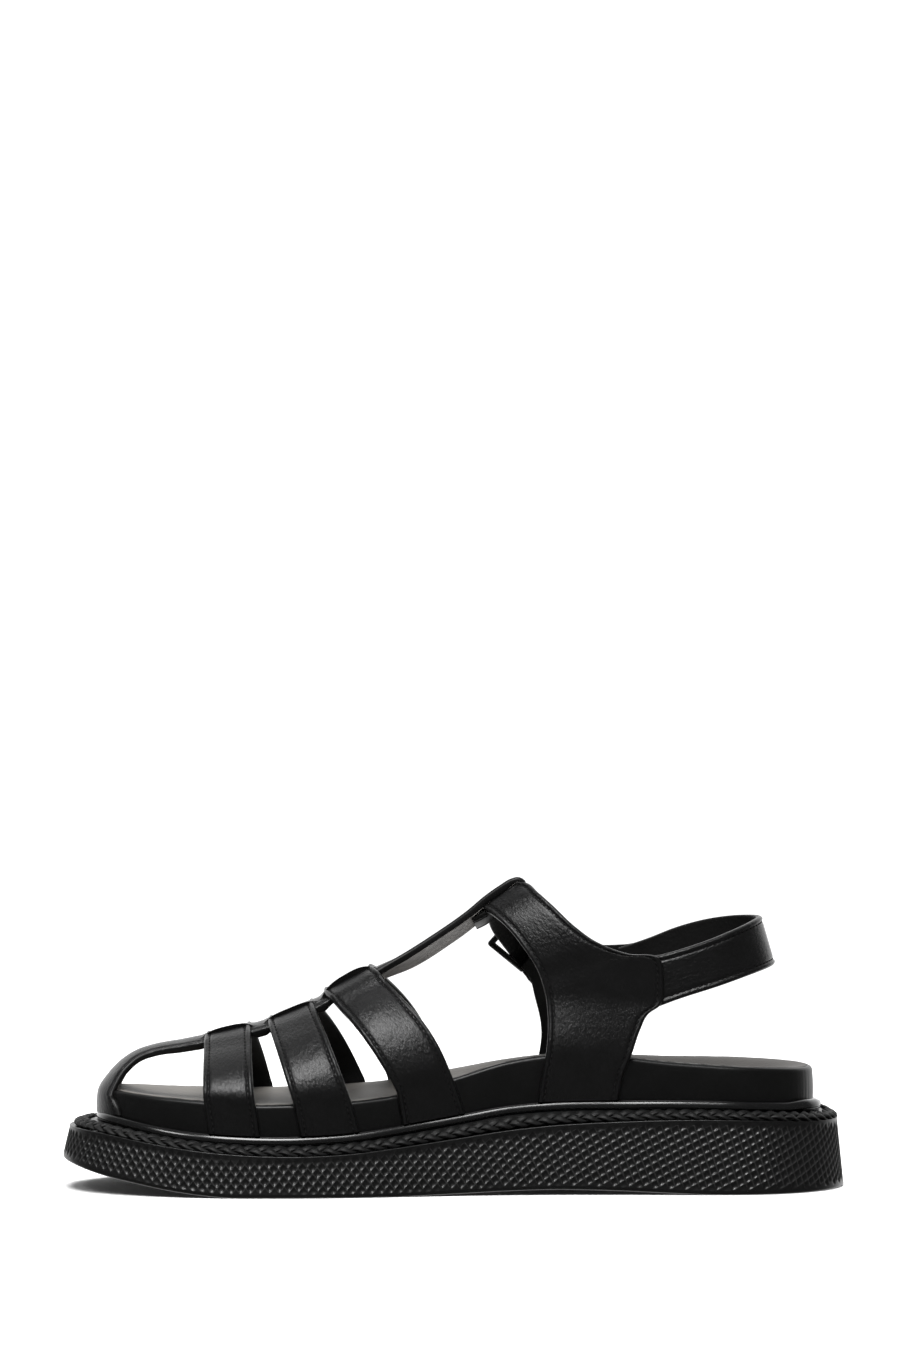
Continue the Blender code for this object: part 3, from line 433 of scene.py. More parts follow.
leather = platedCalfLeather()
edge = inkedLeatherEdge()
greyLining = pigskinLining("greyPigskinLining", "#5f5d5b", "#8b8885")
blackLining = pigskinLining("blackPigskinLining", "#040404", "#0c0c0c")
rubber = mouldedRubber()
plait = plaitedLeather()
rand = polishedRand()
wrap = wrappedSheepLeather()
cover = buffedInsoleLeather()
thread = bondedThread()
steel = lacqueredSteel()
print("materials made")

# Unit sole: flared side with a net of small hollows, plain band at the floor, thin rim on top
outsole = {
    "steps": 720,  # points round the sole
    "rimReach": 8.7,  # from the footbed's side to the rim
    "toeReach": 3.6,  # further out at the toe
    "flare": 2.2,
    "spine": (60.0, 225.0),  # ends of the middle line that the sides face away from
    "footBand": [(-1.0, 0.0), (-0.45, 0.1), (-0.12, 0.4), (0.0, 0.8), (0.0, 1.4)],  # out, up
    "rimProfile": [  # out, up
        (0.0, -0.8),
        (0.05, -0.55),
        (0.03, -0.22),
        (-0.14, -0.03),
        (-0.5, 0.02),
        (-0.9, -0.1),
        (-1.6, -0.5),
    ],
    "ledge": [(3.0, -3.2), (-4.0, -3.2)],  # under braid and welt: out from the footbed, up
    "netMesh": 2.6,  # between two ribs
    "netDepth": 0.64,
    "netRound": 2.2,  # higher makes the hollows flatter
    "netTilt": 0.12,  # how far they look up
    "netShares": (-1.0, -0.8, -0.48, 0.0, 0.48, 0.8, 1.0),  # points across a mesh, rib to rib
    "netFade": (1.0, 1.5),  # near an edge a hollow gets shallow, a mesh cut by it too
    "leastFace": 0.006,  # square millimetres, slivers below it are left out
    "netTurn": [  # share of the way round from the toe, angle of the rising and of the falling ribs
        (0.0, 52.0, 52.0),
        (0.2, 52.0, 51.0),
        (0.36, 31.0, 70.0),
        (0.46, 28.0, 74.0),
        (0.54, 40.0, 62.0),
        (0.62, 52.0, 52.0),
        (1.0, 52.0, 52.0),
    ],
    "lugPitch": 9.5,
    "lugDepth": 1.2,
    "lugWave": (3.0, 7.5),  # swing, run of one radian
    "lugGroove": (0.62, 0.66, 0.94, 0.98),  # shares of the pitch: edge, floor, floor, edge
    "lugRange": (30.0, 262.0),
    "lugBorder": 0.085,  # share of the width
}


def ribCounts(full):
    # ribs are the whole numbers of two counts along the side, one falling and one rising
    turns = np.array(outsole["netTurn"])
    grid = np.linspace(0.0, full, 1401)
    counts = []
    for column, sign in ((1, -1.0), (2, 1.0)):
        angle = np.radians(smoothCurve(turns[:, 0], turns[:, column], grid / full))
        lean = np.sin(angle) / outsole["netMesh"]
        along = np.append(0.0, np.cumsum((lean[1:] + lean[:-1]) / 2 * np.diff(grid)))
        total = round(along[-1])
        fit = total / along[-1]
        climb = np.cos(angle) * fit / outsole["netMesh"]
        counts.append((sign * total, sign * along * fit, sign * lean * fit, climb, np.gradient(climb, grid)))
    return grid, counts


def makeNet(loop, low, high):
    # one small dish per mesh between two rings, the ribs left standing between the dishes
    o = outsole
    run = runAlong(np.vstack([(low + high) / 2, (low[:1] + high[:1]) / 2]))
    full = run[-1]
    tall = np.linalg.norm(high - low, axis=1)
    grid, counts = ribCounts(full)

    def atRun(values, where):
        return readAt(where % full, run, np.vstack([values, values[:1]]))

    def countAt(number, where, up):
        total, *columns = counts[number]
        along, lean, climb, change = [np.interp(where % full, grid, column) for column in columns]
        return along + total * np.floor(where / full) + up * climb, lean + up * change, climb

    order = np.arange(int(counts[1][0] - counts[0][0]))
    start = np.interp(order, counts[1][1] - counts[0][1], grid)
    lowest = np.floor(np.interp(start, grid, counts[0][1])).astype(int) - 2
    steps = np.arange(int(tall.max() * counts[0][3].max()) + 6)
    falling = (lowest[:, None] + steps).ravel()
    rising = falling + np.repeat(order, len(steps))
    s, t = [g.ravel() for g in np.meshgrid(o["netShares"], o["netShares"], indexing="ij")]
    wanted = (falling[:, None] + 0.5 + s / 2, rising[:, None] + 0.5 + t / 2)
    u = np.broadcast_to(np.repeat(start, len(steps))[:, None], wanted[0].shape).copy()
    v = np.full_like(u, 9.0)
    for _ in range(9):  # steps towards the place, along and up, where both counts fit
        first, firstU, firstV = countAt(0, u, v)
        second, secondU, secondV = countAt(1, u, v)
        gone, left = wanted[0] - first, wanted[1] - second
        area = firstU * secondV - firstV * secondU
        u += (gone * secondV - left * firstV) / area
        v += (left * firstU - gone * secondU) / area
    top = atRun(tall[:, None], u)[..., 0]
    keep = (v.min(axis=1) < top.max(axis=1) - 0.1) & (v.max(axis=1) > 0.1)
    u, v, top = u[keep], v[keep], top[keep]
    v = np.clip(v, 0.0, top)
    room = np.minimum(v, top - v)
    deep = ease(room / o["netFade"][0]) * ease(room[:, len(s) // 2] / o["netFade"][1])[:, None]
    sunk = -o["netDepth"] * (1 - np.abs(s) ** o["netRound"]) * (1 - np.abs(t) ** o["netRound"]) * deep
    outward = unit(atRun(np.column_stack([loop["outward"], np.full(o["steps"], o["netTilt"])]), u))
    foot = atRun(low, u)
    points = foot + (atRun(high, u) - foot) * (v / top)[..., None] + outward * sunk[..., None]
    points = points.reshape(-1, 3)
    side = len(o["netShares"])
    cells = np.arange(len(points) // side**2) * side**2
    faces = (gridFaces(side, side)[None] + cells[:, None, None]).reshape(-1, 4)
    corner = points[faces]
    area = np.linalg.norm(np.cross(corner[:, 2] - corner[:, 0], corner[:, 3] - corner[:, 1]), axis=1) / 2
    ribAway = (1 - np.maximum(np.abs(s), np.abs(t))) * o["netMesh"] / 2 + 2 * (1 - deep)
    return points, faces[area > o["leastFace"]], ribAway.ravel()


def makeTread(edgeRing):
    # wavy cross lugs inside a plain border
    o = outsole
    half = o["steps"] // 2
    inner = edgeRing[: half + 1]
    outer = np.vstack([edgeRing[half:], edgeRing[:1]])[::-1]
    toe, heel = edgeRing[:, 0].min(), edgeRing[:, 0].max()
    marks = (np.arange(29)[:, None] + np.append(0.0, o["lugGroove"])).ravel() * o["lugPitch"]
    marks = marks[(marks > toe + 0.5) & (marks < heel - 0.5)]
    border = o["lugBorder"]
    across = np.concatenate([[0.0, 0.07, border], np.linspace(0.12, 0.88, 20), [1 - border, 0.93, 1.0]])
    calm = ease((across - border) / 0.2) * ease((1 - border - across) / 0.2)
    inside = (across > 0.08) & (across < 0.92)
    rows = []
    for mark in marks:
        near = np.interp(mark, inner[:, 0], inner[:, 1])
        far = np.interp(mark, outer[:, 0], outer[:, 1])
        y = near + (far - near) * across
        x = np.clip(mark + o["lugWave"][0] * np.sin(y / o["lugWave"][1]) * calm, toe, heel)
        groove = 0.64 < (mark / o["lugPitch"]) % 1.0 < 0.96  # between a groove's edges and its floor
        cut = groove and o["lugRange"][0] < mark < o["lugRange"][1]
        depth = o["lugDepth"] if cut else 0.0
        rows.append(np.column_stack([x, y, level("tread", x, 0.0) + inside * depth]))
    return np.vstack(rows), gridFaces(len(rows), len(across))


def makeOutsole():
    o = outsole
    loop = outlineLoop(o["steps"])
    base = o["rimReach"] + o["flare"]
    band = [levelRing(loop, base + out, "tread", up, o["toeReach"]) for out, up in o["footBand"]]
    rim = [levelRing(loop, o["rimReach"] + out, "rim", up, o["toeReach"]) for out, up in o["rimProfile"]]
    rim += [levelRing(loop, out, "welt", up) for out, up in o["ledge"]]
    net, netFaces, ribAway = makeNet(loop, band[-1], rim[0])
    parts = []
    for rings in (band, rim):
        parts.append((np.vstack(rings), gridFaces(len(rings), o["steps"], closedColumns=True)))
    parts += [(net, netFaces), makeTread(band[0])]
    points = np.vstack([p for p, _ in parts])
    starts = np.append(0, np.cumsum([len(p) for p, _ in parts]))
    faces = np.vstack([f + start for (_, f), start in zip(parts, starts)])
    # distance from the nearest rib, read by the rubber to paint a grey highlight along the ribs
    fromRib = np.full((len(points), 2), 9.0)
    fromRib[starts[2] : starts[3], 0] = ribAway
    # sides face away from the middle line, the rim's top and the ledge up, the tread down
    corner = points[faces]
    way = corner - corner[:, :1]
    normal = np.cross(way[:, 1], way[:, 2]) + np.cross(way[:, 2], way[:, 3])
    middle = corner.mean(axis=1)
    out = middle * (1.0, 1.0, 0.0)
    out[:, 0] -= np.clip(middle[:, 0], *o["spine"])
    facesAt = np.append(0, np.cumsum([len(f) for _, f in parts]))
    out[facesAt[1] + 3 * o["steps"] : facesAt[2]] = (0.0, 0.0, 1.0)
    out[facesAt[3] :] = (0.0, 0.0, -1.0)
    wrong = (normal * out).sum(axis=1) < 0
    faces[wrong] = faces[wrong][:, ::-1]
    addPiece("outsole_net", points, faces, [rubber], ["outsole"], uv=fromRib, sharpAngle=75,
             turn=False, weld=True)


makeOutsole()

# Plaited trim: three flat laces woven in a plait along the sole's shoulder
braid = {
    "lowReach": 9.0,
    "lowDrop": 0.6,  # under the rim, so the leaves hang over it
    "highReach": 3.6,
    "repeat": 15.3,  # one lace's full swing, three V's of the plait
    "swing": 1.42,
    "sharp": 0.96,  # flat laces turn sharply
    "weave": 0.58,
    "lace": (1.25, 0.4),  # half width and half thickness
    "lift": 0.7,
    "liftHeel": 0.4,
    "step": 0.8,
}


def makeBraid():
    b = braid
    loop = outlineLoop(900)
    low = levelRing(loop, b["lowReach"], "rim", -b["lowDrop"], outsole["toeReach"])
    high = levelRing(loop, b["highReach"], "welt", outsole["ledge"][0][1])
    slope = high - low
    along = unit(np.roll(low, -1, axis=0) - np.roll(low, 1, axis=0))
    up = np.cross(slope, along)
    up = unit(up * np.sign(up[:, 2:3]))
    heel = np.clip(loop["outward"][:, :1], 0.0, 1.0)
    middle = (low + high) / 2 + up * (b["lift"] + (b["liftHeel"] - b["lift"]) * heel)
    table = np.hstack([middle, unit(slope), up])
    table = np.vstack([table, table[:1]])
    run = runAlong(table[:, :3])
    swings = int(round(run[-1] / b["repeat"]))
    at = np.linspace(0.0, run[-1], int(run[-1] / b["step"]), endpoint=False)
    middle, across, up = np.split(readAt(at, run, table), 3, axis=1)
    turn = np.linspace(0.0, 2 * math.pi, 9)[:-1]
    shape = np.column_stack([np.cos(turn), np.sin(turn)])
    shape = np.sign(shape) * np.abs(shape) ** 0.6 * np.array(b["lace"])
    points, faces, uv = [], [], []
    for lace in range(3):
        swing = 2 * math.pi * (swings * at / run[-1] + lace / 3)
        zigzag = np.arcsin(b["sharp"] * np.sin(swing)) / math.asin(b["sharp"])
        centre = middle + across * (b["swing"] * zigzag)[:, None]
        centre = centre + up * (b["weave"] * np.sin(2 * swing))[:, None]
        way = unit(np.roll(centre, -1, axis=0) - np.roll(centre, 1, axis=0))
        wide = unit(np.cross(way, up))
        thick = np.cross(wide, way)
        tube = centre[:, None] + wide[:, None] * shape[:, :1] + thick[:, None] * shape[:, 1:]
        faces.append(gridFaces(len(at), 8, True, True, len(at) * 8 * lace))
        points.append(tube.reshape(-1, 3))
        flat = np.stack(np.broadcast_arrays(at[:, None], shape[None, :, 0]), axis=-1)
        uv.append(flat.reshape(-1, 2))
    addPiece("braid_plait", np.vstack(points), np.vstack(faces), [plait], ["braid_trim"],
             uv=np.vstack(uv))


makeBraid()

# Welt: smooth bead whose ends lap at the inner back of the heel
welt = {
    "steps": 620,
    "height": 2.9,
    "profile": [  # distance out from the footbed, share of the height
        (0.3, 0.0),
        (2.4, 0.0),
        (2.78, 0.08),
        (2.86, 0.22),
        (2.8, 0.4),
        (2.62, 0.58),
        (2.36, 0.75),
        (2.0, 0.91),
        (1.5, 1.02),
        (0.9, 1.06),
        (0.3, 1.04),
    ],
    "lapStation": 258.0,
    "lapLength": 15.0,
    "lapOut": 1.0,
    "lapUp": 0.9,
    "lapLead": 8,  # steps before the lap at which the end starts to rise
    "tipThin": 0.45,
}


def makeWelt():
    w = welt
    steps = w["steps"]
    loop = outlineLoop(steps)
    rings = [levelRing(loop, reach, "welt", (rise - 1) * w["height"]) for reach, rise in w["profile"]]
    start = int(np.argmin(np.abs(loop["points"][: steps // 2, 0] - w["lapStation"])))
    extra = int(w["lapLength"] / np.linalg.norm(loop["points"][1] - loop["points"][0]))
    count = np.arange(steps + extra)
    order = (start + count) % steps
    body = np.stack(rings, axis=1)[order]
    over = ease((count - steps + w["lapLead"]) / (extra * 0.7))
    tip = ease((count - steps - extra * 0.55) / (extra * 0.45))
    outward = np.column_stack([loop["outward"][order], np.zeros(len(order))])
    body += outward[:, None] * (over * w["lapOut"])[:, None, None]
    body[..., 2] += (over * w["lapUp"])[:, None]
    centre = body.mean(axis=1, keepdims=True)
    body = centre + (body - centre) * (1 - w["tipThin"] * tip)[:, None, None]
    rows, columns = body.shape[:2]
    faces = [*gridFaces(rows, columns, closedColumns=True), np.arange(columns)]
    faces.append((rows - 1) * columns + np.arange(columns)[::-1])
    addPiece("welt_bead", body.reshape(-1, 3), faces, [rand], ["welt"], sharpAngle=55)


makeWelt()

# Footbed: leather pulled over a thick bed, gathered in fine upright wrinkles round the heel
footbed = {
    "round": 1.6,
    "bulge": 0.3,
    "wrinkleFrom": (232.0, 22.0),  # station, run over which they start
    "wrinkleToe": (44.0, 18.0, 0.35),  # the same at the toe, and how much of the depth
    "wrinkleDepth": 0.045,
    "wrinkles": [(1.3, 0.4), (1.7, 2.1), (2.3, 4.0), (3.1, 1.2)],  # spacing, phase
    "innerEdge": [(-2.6, -0.3), (-3.1, -0.85), (-6.0, -1.5)],  # under the insole: out, up
}


def makeFootbed():
    f = footbed
    count = 1000
    loop = outlineLoop(count)
    run = np.arange(count) * np.linalg.norm(loop["points"][1] - loop["points"][0])
    station = loop["points"][:, 0]
    folds = sum(np.sin(2 * math.pi * run / space + phase) for space, phase in f["wrinkles"])
    (heelAt, heelRun), (toeAt, toeRun, toeShare) = f["wrinkleFrom"], f["wrinkleToe"]
    ends = ease((station - heelAt) / heelRun) + toeShare * ease((toeAt - station) / toeRun)
    folds = f["wrinkleDepth"] * ends * np.minimum(folds, 0.6) * (0.6 + 0.4 * np.sin(run / 5.3))
    foot = levelRing(loop, 0.0, "welt", -welt["height"])[:, 2]
    head = levelRing(loop, 0.0, "bed", -f["round"])[:, 2]
    rings = []
    for share in np.linspace(0.0, 1.0, 9):
        swell = f["bulge"] * 4 * share * (1 - share) + folds * ease(share * 5) * (1 - 0.75 * share)
        rings.append(np.column_stack([ring(loop, swell), foot + (head - foot) * share]))
    for angle in np.radians([18, 36, 54, 72, 90]):
        inward = f["round"] * (1 - math.cos(angle))
        rings.append(levelRing(loop, 0.25 * folds - inward, "bed", f["round"] * (math.sin(angle) - 1)))
    rings += [levelRing(loop, out, "bed", up) for out, up in f["innerEdge"]]
    faces = gridFaces(len(rings), count, closedColumns=True)
    addPiece("footbed_wrap", np.vstack(rings), faces, [wrap], ["footbed"])


makeFootbed()

# Insole: thin sheet in the hollow of the footbed
insole = {
    "inset": 1.9,
    "proud": 0.12,
    "thick": 0.9,
    "hollow": 2.4,
    "round": (0.6, 0.35),  # how far in and how deep the edge is rounded
    "fade": 14.0,
}


def makeInsole():
    n = insole
    steps = 1200
    edgeRing = levelRing(outlineLoop(steps), -n["inset"], "bed")
    inner = edgeRing[: steps // 2 + 1]
    outer = np.vstack([edgeRing[steps // 2 :], edgeRing[:1]])[::-1]
    toe, heel = edgeRing[:, 0].min(), edgeRing[:, 0].max()
    stations = toe + (heel - toe) * (1 - np.cos(np.linspace(0.02, math.pi - 0.02, 150))) / 2
    shares = np.concatenate([[0, 0.006, 0.02], np.linspace(0.05, 0.95, 24), [0.98, 0.994, 1.0]])
    near, far = [readAt(stations, side[:, 0], side)[:, None] for side in (inner, outer)]
    sheet = near + (far - near) * shares[:, None]
    toEdge = np.linalg.norm(sheet[:, :, None, :2] - edgeRing[None, None, ::3, :2], axis=3).min(axis=2)
    cup = levelColumn("cup", stations)[:, None] * (1 - np.abs(2 * shares - 1) ** n["hollow"])
    cup = cup * ease(toEdge / n["fade"])
    under = sheet.copy()
    under[..., 2] -= cup + n["thick"]
    reach, depth = n["round"]
    sheet[..., 2] += n["proud"] - cup - depth * (1 - np.clip(toEdge / reach, 0, 1)) ** 2
    faces = np.vstack(closedSheet(*sheet.shape[:2]))
    points = np.vstack([sheet.reshape(-1, 3), under.reshape(-1, 3)])
    addPiece("insole_sheet", points, faces, [cover], ["insole"], sharpAngle=50)


makeInsole()

# Straps: two layers sewn together, edges turned slightly, stitched all along
strap = {
    "thick": 2.0,
    "edgeRound": 0.85,
    "seamInset": 2.1,
    "seamDepth": 0.4,
    "seamWidth": 0.42,
    "puff": (0.24, 1.0, 0.5),  # height, distance from the edge, width
    "tuck": (0.35, 0.25),  # width and depth of the lining's turned edge
    # distances from an edge at which a strap has columns of points
    "columns": (0.0, 0.08, 0.22, 0.45, 0.8, 1.2, 1.6, 1.85, 2.1, 2.35, 2.6, 3.1, 3.9),
}
stitch = {
    "pitch": 2.1,
    "length": 1.5,
    "radius": 0.33,
    "flat": 0.8,
    "dip": 0.16,  # of a stitch's ends
    "proud": 0.02,
    "shape": [(-0.5, 0.35), (-0.36, 0.85), (0.0, 1.0), (0.36, 0.85), (0.5, 0.35)],  # along, girth
}
stitchRuns = []  # points and normals of every row of stitches


def facing(grid, row, axis):
    # unit normals, turned so that those of one row point along an axis
    normal = unit(np.cross(np.gradient(grid, axis=1), np.gradient(grid, axis=0)))
    return normal * np.sign(normal[row, grid.shape[1] // 2, axis])


def respread(grid):
    # the same surface with columns at set distances from both edges
    near = np.array(strap["columns"])
    made, distance = [], []
    for line in grid:
        run = runAlong(line)
        edgeAt = near * min(1.0, run[-1] / 2 / (near[-1] + 0.8))
        inside = np.linspace(edgeAt[-1], run[-1] - edgeAt[-1], 9)[1:-1]
        at = np.concatenate([edgeAt, inside, run[-1] - edgeAt[::-1]])
        made.append(readAt(at, run, line))
        distance.append(np.minimum(at, run[-1] - at))
    return np.array(made), np.array(distance)


def hill(distance, height, middle, width):
    return height * np.exp(-(((distance - middle) / width) ** 2))


def sewnRelief(distance):
    r = strap["edgeRound"]
    turned = np.where(distance < r, r - np.sqrt(np.maximum(r * r - (r - distance) ** 2, 0.0)), 0.0)
    seam = hill(distance, strap["seamDepth"], strap["seamInset"], strap["seamWidth"])
    return hill(distance, *strap["puff"]) - turned - seam


def seamLine(outer, normal, distance, side):
    half = distance.shape[1] // 2
    pick = slice(0, half) if side == 0 else slice(distance.shape[1] - 1, half, -1)
    points, lifts = [], []
    for line, lift, away in zip(outer[:, pick], normal[:, pick], distance[:, pick]):
        inset = min(strap["seamInset"], away[-1])
        points.append(readAt(inset, away, line))
        lifts.append(readAt(inset, away, lift))
    return np.array(points), unit(np.array(lifts))


def addStrap(name, face, normal, distance, thick, rowsSewn=None, inside=None, paint=None):
    # closed strap: sewn outer face, inked edges, lined inside
    outer = face + normal * sewnRelief(distance)[..., None]
    inner = face - normal * np.broadcast_to(np.reshape(thick, (-1, 1)), distance.shape)[..., None]
    tuckWide, tuckDeep = strap["tuck"]
    inner = inner + normal * (np.clip(1 - distance / tuckWide, 0.0, 1.0) * tuckDeep)[..., None]
    top, under, rim = closedSheet(*face.shape[:2])
    painted = np.zeros(len(top), int) if paint is None else paint.ravel()
    slots = np.concatenate([painted, np.full(len(under), 2), np.full(len(rim), 1)])
    along = runAlong(face.mean(axis=1))
    across = np.cumsum(np.linalg.norm(np.diff(face, axis=1, prepend=face[:, :1]), axis=2), axis=1)
    uv = np.stack([np.broadcast_to(along[:, None], across.shape), across], axis=-1).reshape(-1, 2)
    start, stop = rowsSewn or (0, len(face))
    for side in (0, -1):
        line, lift = seamLine(outer, normal, distance, side)
        stitchRuns.append((line[start:stop], lift[start:stop]))
    points = np.vstack([outer.reshape(-1, 3), inner.reshape(-1, 3)])
    materials = [leather, edge, inside or blackLining]
    faces = np.vstack([top, under, rim])
    addPiece(name, points, faces, materials, ["upper"], slots, np.vstack([uv, uv]), 55)


# T-bar: toe strip, ridge, loop over the ankle strap and the end sewn back beneath
toeBar = {
    "path": [  # station, height, across, half width, crown radius, roll, thickness
        (12.0, 26.3, -6.0, 23.5, 28.0, 0.0, 1.7),
        (12.0, 30.6, -6.0, 21.4, 28.0, 0.0, 1.7),
        (12.5, 34.1, -6.0, 19.0, 27.6, 0.0, 1.6),
        (15.7, 39.2, -6.0, 16.2, 27.0, 0.0, 1.7),
        (20.3, 44.1, -6.0, 13.4, 26.0, 0.0, 2.0),
        (26.2, 47.9, -6.0, 10.8, 23.0, 0.0, 2.0),
        (32.9, 50.0, -5.9, 9.9, 23.0, 0.0, 2.2),
        (42.0, 51.6, -5.7, 10.2, 25.0, 0.0, 2.6),
        (50.0, 53.2, -5.5, 10.8, 27.0, 0.0, 2.8),
        (60.0, 55.5, -5.2, 11.2, 28.0, 0.0, 2.9),
        (70.0, 58.0, -4.8, 11.8, 28.0, 0.0, 3.0),
        (80.0, 61.7, -4.3, 12.0, 28.0, 0.0, 3.0),
        (89.5, 66.0, -3.7, 12.2, 28.0, 0.0, 3.0),
        (100.0, 71.7, -3.0, 11.2, 26.0, 2.0, 2.9),
        (110.5, 76.8, -2.2, 9.6, 18.0, 9.0, 2.4),
        (121.0, 81.0, -1.5, 8.4, 26.0, 16.0, 2.6),
        (133.0, 88.0, -1.0, 7.6, 40.0, 18.0, 2.6),
        (143.8, 96.0, -1.0, 7.3, 40.0, 16.0, 2.8),
    ],
    "loop": [
        (149.2, 101.2, -1.0, 7.2, 36.0, 12.0, 2.9),
        (154.6, 105.0, -1.0, 7.2, 36.0, 12.0, 2.9),
        (158.3, 107.2, -1.0, 7.2, 36.0, 12.0, 2.2),
        (160.6, 107.7, -1.0, 7.2, 36.0, 12.0, 1.5),
        (162.2, 106.8, -1.0, 7.2, 36.0, 12.0, 1.4),
        (162.5, 104.6, -1.0, 7.2, 36.0, 12.0, 1.4),
        (161.2, 102.2, -1.0, 7.2, 36.0, 0.0, 1.6),
        (156.4, 98.2, -1.0, 7.2, 36.0, -10.0, 1.8),
        (151.8, 94.5, -1.0, 7.2, 36.0, -14.0, 1.8),
        (148.5, 92.3, -1.0, 7.2, 36.0, -16.0, 1.8),
        (145.5, 90.9, -1.0, 7.2, 38.0, -16.0, 1.6),
    ],
    "slit": 0.6,  # share of the half width
    "slitRun": 1.3,
    "bridgeTip": 0.55,  # a bridge's near edge stands higher than its far one
    "bridgeThin": 0.48,
    "ridgeFrom": 5,  # first row that lies along the ridge
    "rows": 250,
    "ridgeRows": 190,  # of them before the loop
    "sewn": (3, 246),
    "endSeam": -12,  # row of the seam across the end
    "inkedEnd": 14,  # rows
    "inkedMargin": (1.6, 30.0, 108.0),  # width, at stations before and after
}
# front and rear at the ridge, at the side and at the foot, then outer shift, bow, height of the bridge
crossStraps = [
    (50.3, 66.4, 51.0, 69.2, 52.8, 71.0, 2.9, 0.0, 1.0),
    (72.1, 88.1, 82.3, 102.3, 84.9, 105.4, 3.4, 0.2, 0.6),
    (92.0, 109.2, 118.4, 137.4, 120.3, 141.8, -4.4, 1.2, 2.0),
]


def ridgeColumn(index, station):
    rows = np.array(toeBar["path"][toeBar["ridgeFrom"] :])
    return smoothCurve(rows[:, 0], rows[:, index], station)


def makeToeBar():
    b = toeBar
    values = np.array(b["path"] + b["loop"])
    run = runAlong(values[:, :2])
    at = np.linspace(0.0, run[-1], b["rows"])
    columns = [smoothCurve(run, column, at) for column in values.T]
    station, height, middle, half, crown, roll, thick = columns
    way = unit(np.column_stack([np.gradient(station), np.gradient(height)]))
    roll = np.radians(roll)
    slit = b["slit"]
    shares = [0.0, 0.15, 0.3, 0.42, 0.52, 0.57, slit - 0.008, slit + 0.012, 0.65, 0.7, 0.75, 0.8, 0.84]
    shares = np.array(shares + [0.88, 0.92, 0.955, 0.98, 0.992, 1.0])
    shares = np.concatenate([-shares[:0:-1], shares])
    zero = np.zeros_like(station)
    up = np.column_stack([-way[:, 1], zero, way[:, 0]])
    side = np.column_stack([zero, np.cos(roll), zero]) - up * np.sin(roll)[:, None]
    up = up * np.cos(roll)[:, None] + np.column_stack([zero, np.sin(roll), zero])
    bend = shares[None, :] * (half / crown)[:, None]
    sag = (1 - np.cos(bend)) * crown[:, None]
    centre = np.column_stack([station, middle, height])
    face = centre[:, None] + side[:, None] * (np.sin(bend) * crown[:, None])[..., None]
    face = face - up[:, None] * sag[..., None]
    normal = up[:, None] * np.cos(bend)[..., None] + side[:, None] * np.sin(bend)[..., None]
    lift, flat = np.zeros((2, len(station)))
    onRidge = np.arange(len(station)) < b["ridgeRows"]
    for row in crossStraps:
        reach = (row[1] - row[0]) / 2 + b["slitRun"]
        share = np.clip(np.abs(station - (row[0] + row[1]) / 2) / reach, 0.0, 1.0)
        lift = np.maximum(lift, row[8] * (1 - share**2.6) * onRidge)
        flat = np.maximum(flat, (1 - share**4) * onRidge)
    tip = -b["bridgeTip"] * shares / slit  # a bridge lies flat and tipped, the rest of the bar is crowned
    bridge = (lift[:, None] + flat[:, None] * (sag + tip)) * (np.abs(shares) <= slit)[None, :]
    distance = (1 - np.abs(shares))[None, :] * half[:, None]
    face = face + normal * bridge[..., None]
    paint = np.zeros((len(station) - 1, len(shares) - 1), int)
    paint[way[:-1, 0] < -0.2] = 2  # the end turned under
    paint[-b["inkedEnd"] :] = 1
    margin, before, after = b["inkedMargin"]
    inked = (station[:-1] < before) | (station[:-1] > after)
    paint[(distance[:-1, :-1] < margin) & (paint == 0) & inked[:, None]] = 1
    cut = int(np.argmin(np.abs(shares - (slit - 0.008))))
    for column in (cut, len(shares) - 2 - cut):
        paint[flat[:-1] > 0.02, column] = 1
    stitchRuns.append((face[b["endSeam"]], normal[b["endSeam"]]))
    thick = thick * (1 - b["bridgeThin"] * flat)
    addStrap("upper_toeBar", face, normal, distance, thick, b["sewn"], greyLining, paint)


def quarterArch(turn, fullness=0.45):
    keep = 1.0 - turn
    weight = 2.0 * fullness * turn * keep
    total = keep * keep + weight + turn * turn
    return (weight + turn * turn) / total, (keep * keep + weight) / total


crossFit = {
    "shoulder": 1.0,  # height over the footbed's edge where a strap turns down
    "sideTurn": 0.8,
    "lap": 0.5,
    "hump": (0.9, 0.8, 2.1),  # how far each strap stands over the T-bar's margin
    "crown": (0.15, 0.3, 0.9),  # swell of each strap between its two seams
    "rearBow": (0.0, 0.0, 2.0),  # how far the rear edge bows back
    "rise": (0.1, 0.6),  # out of the slit: from, run, in half widths of the T-bar
    "fall": (1.9, 0.8),  # back down to the foot: until, run
    "flank": (0.2, 0.2, 0.82, 0.12),  # turn from which a strap swells, run, turn until which, run
    "creases": [  # strap, turn, share across, depth, width along
        (1, 0.44, 0.55, 0.16, 0.012),
        (1, 0.47, 0.62, 0.12, 0.010),
        (2, 0.40, 0.45, 0.14, 0.012),
        (2, 0.52, 0.40, 0.10, 0.012),
        (0, 0.46, 0.50, 0.10, 0.014),
    ],
}


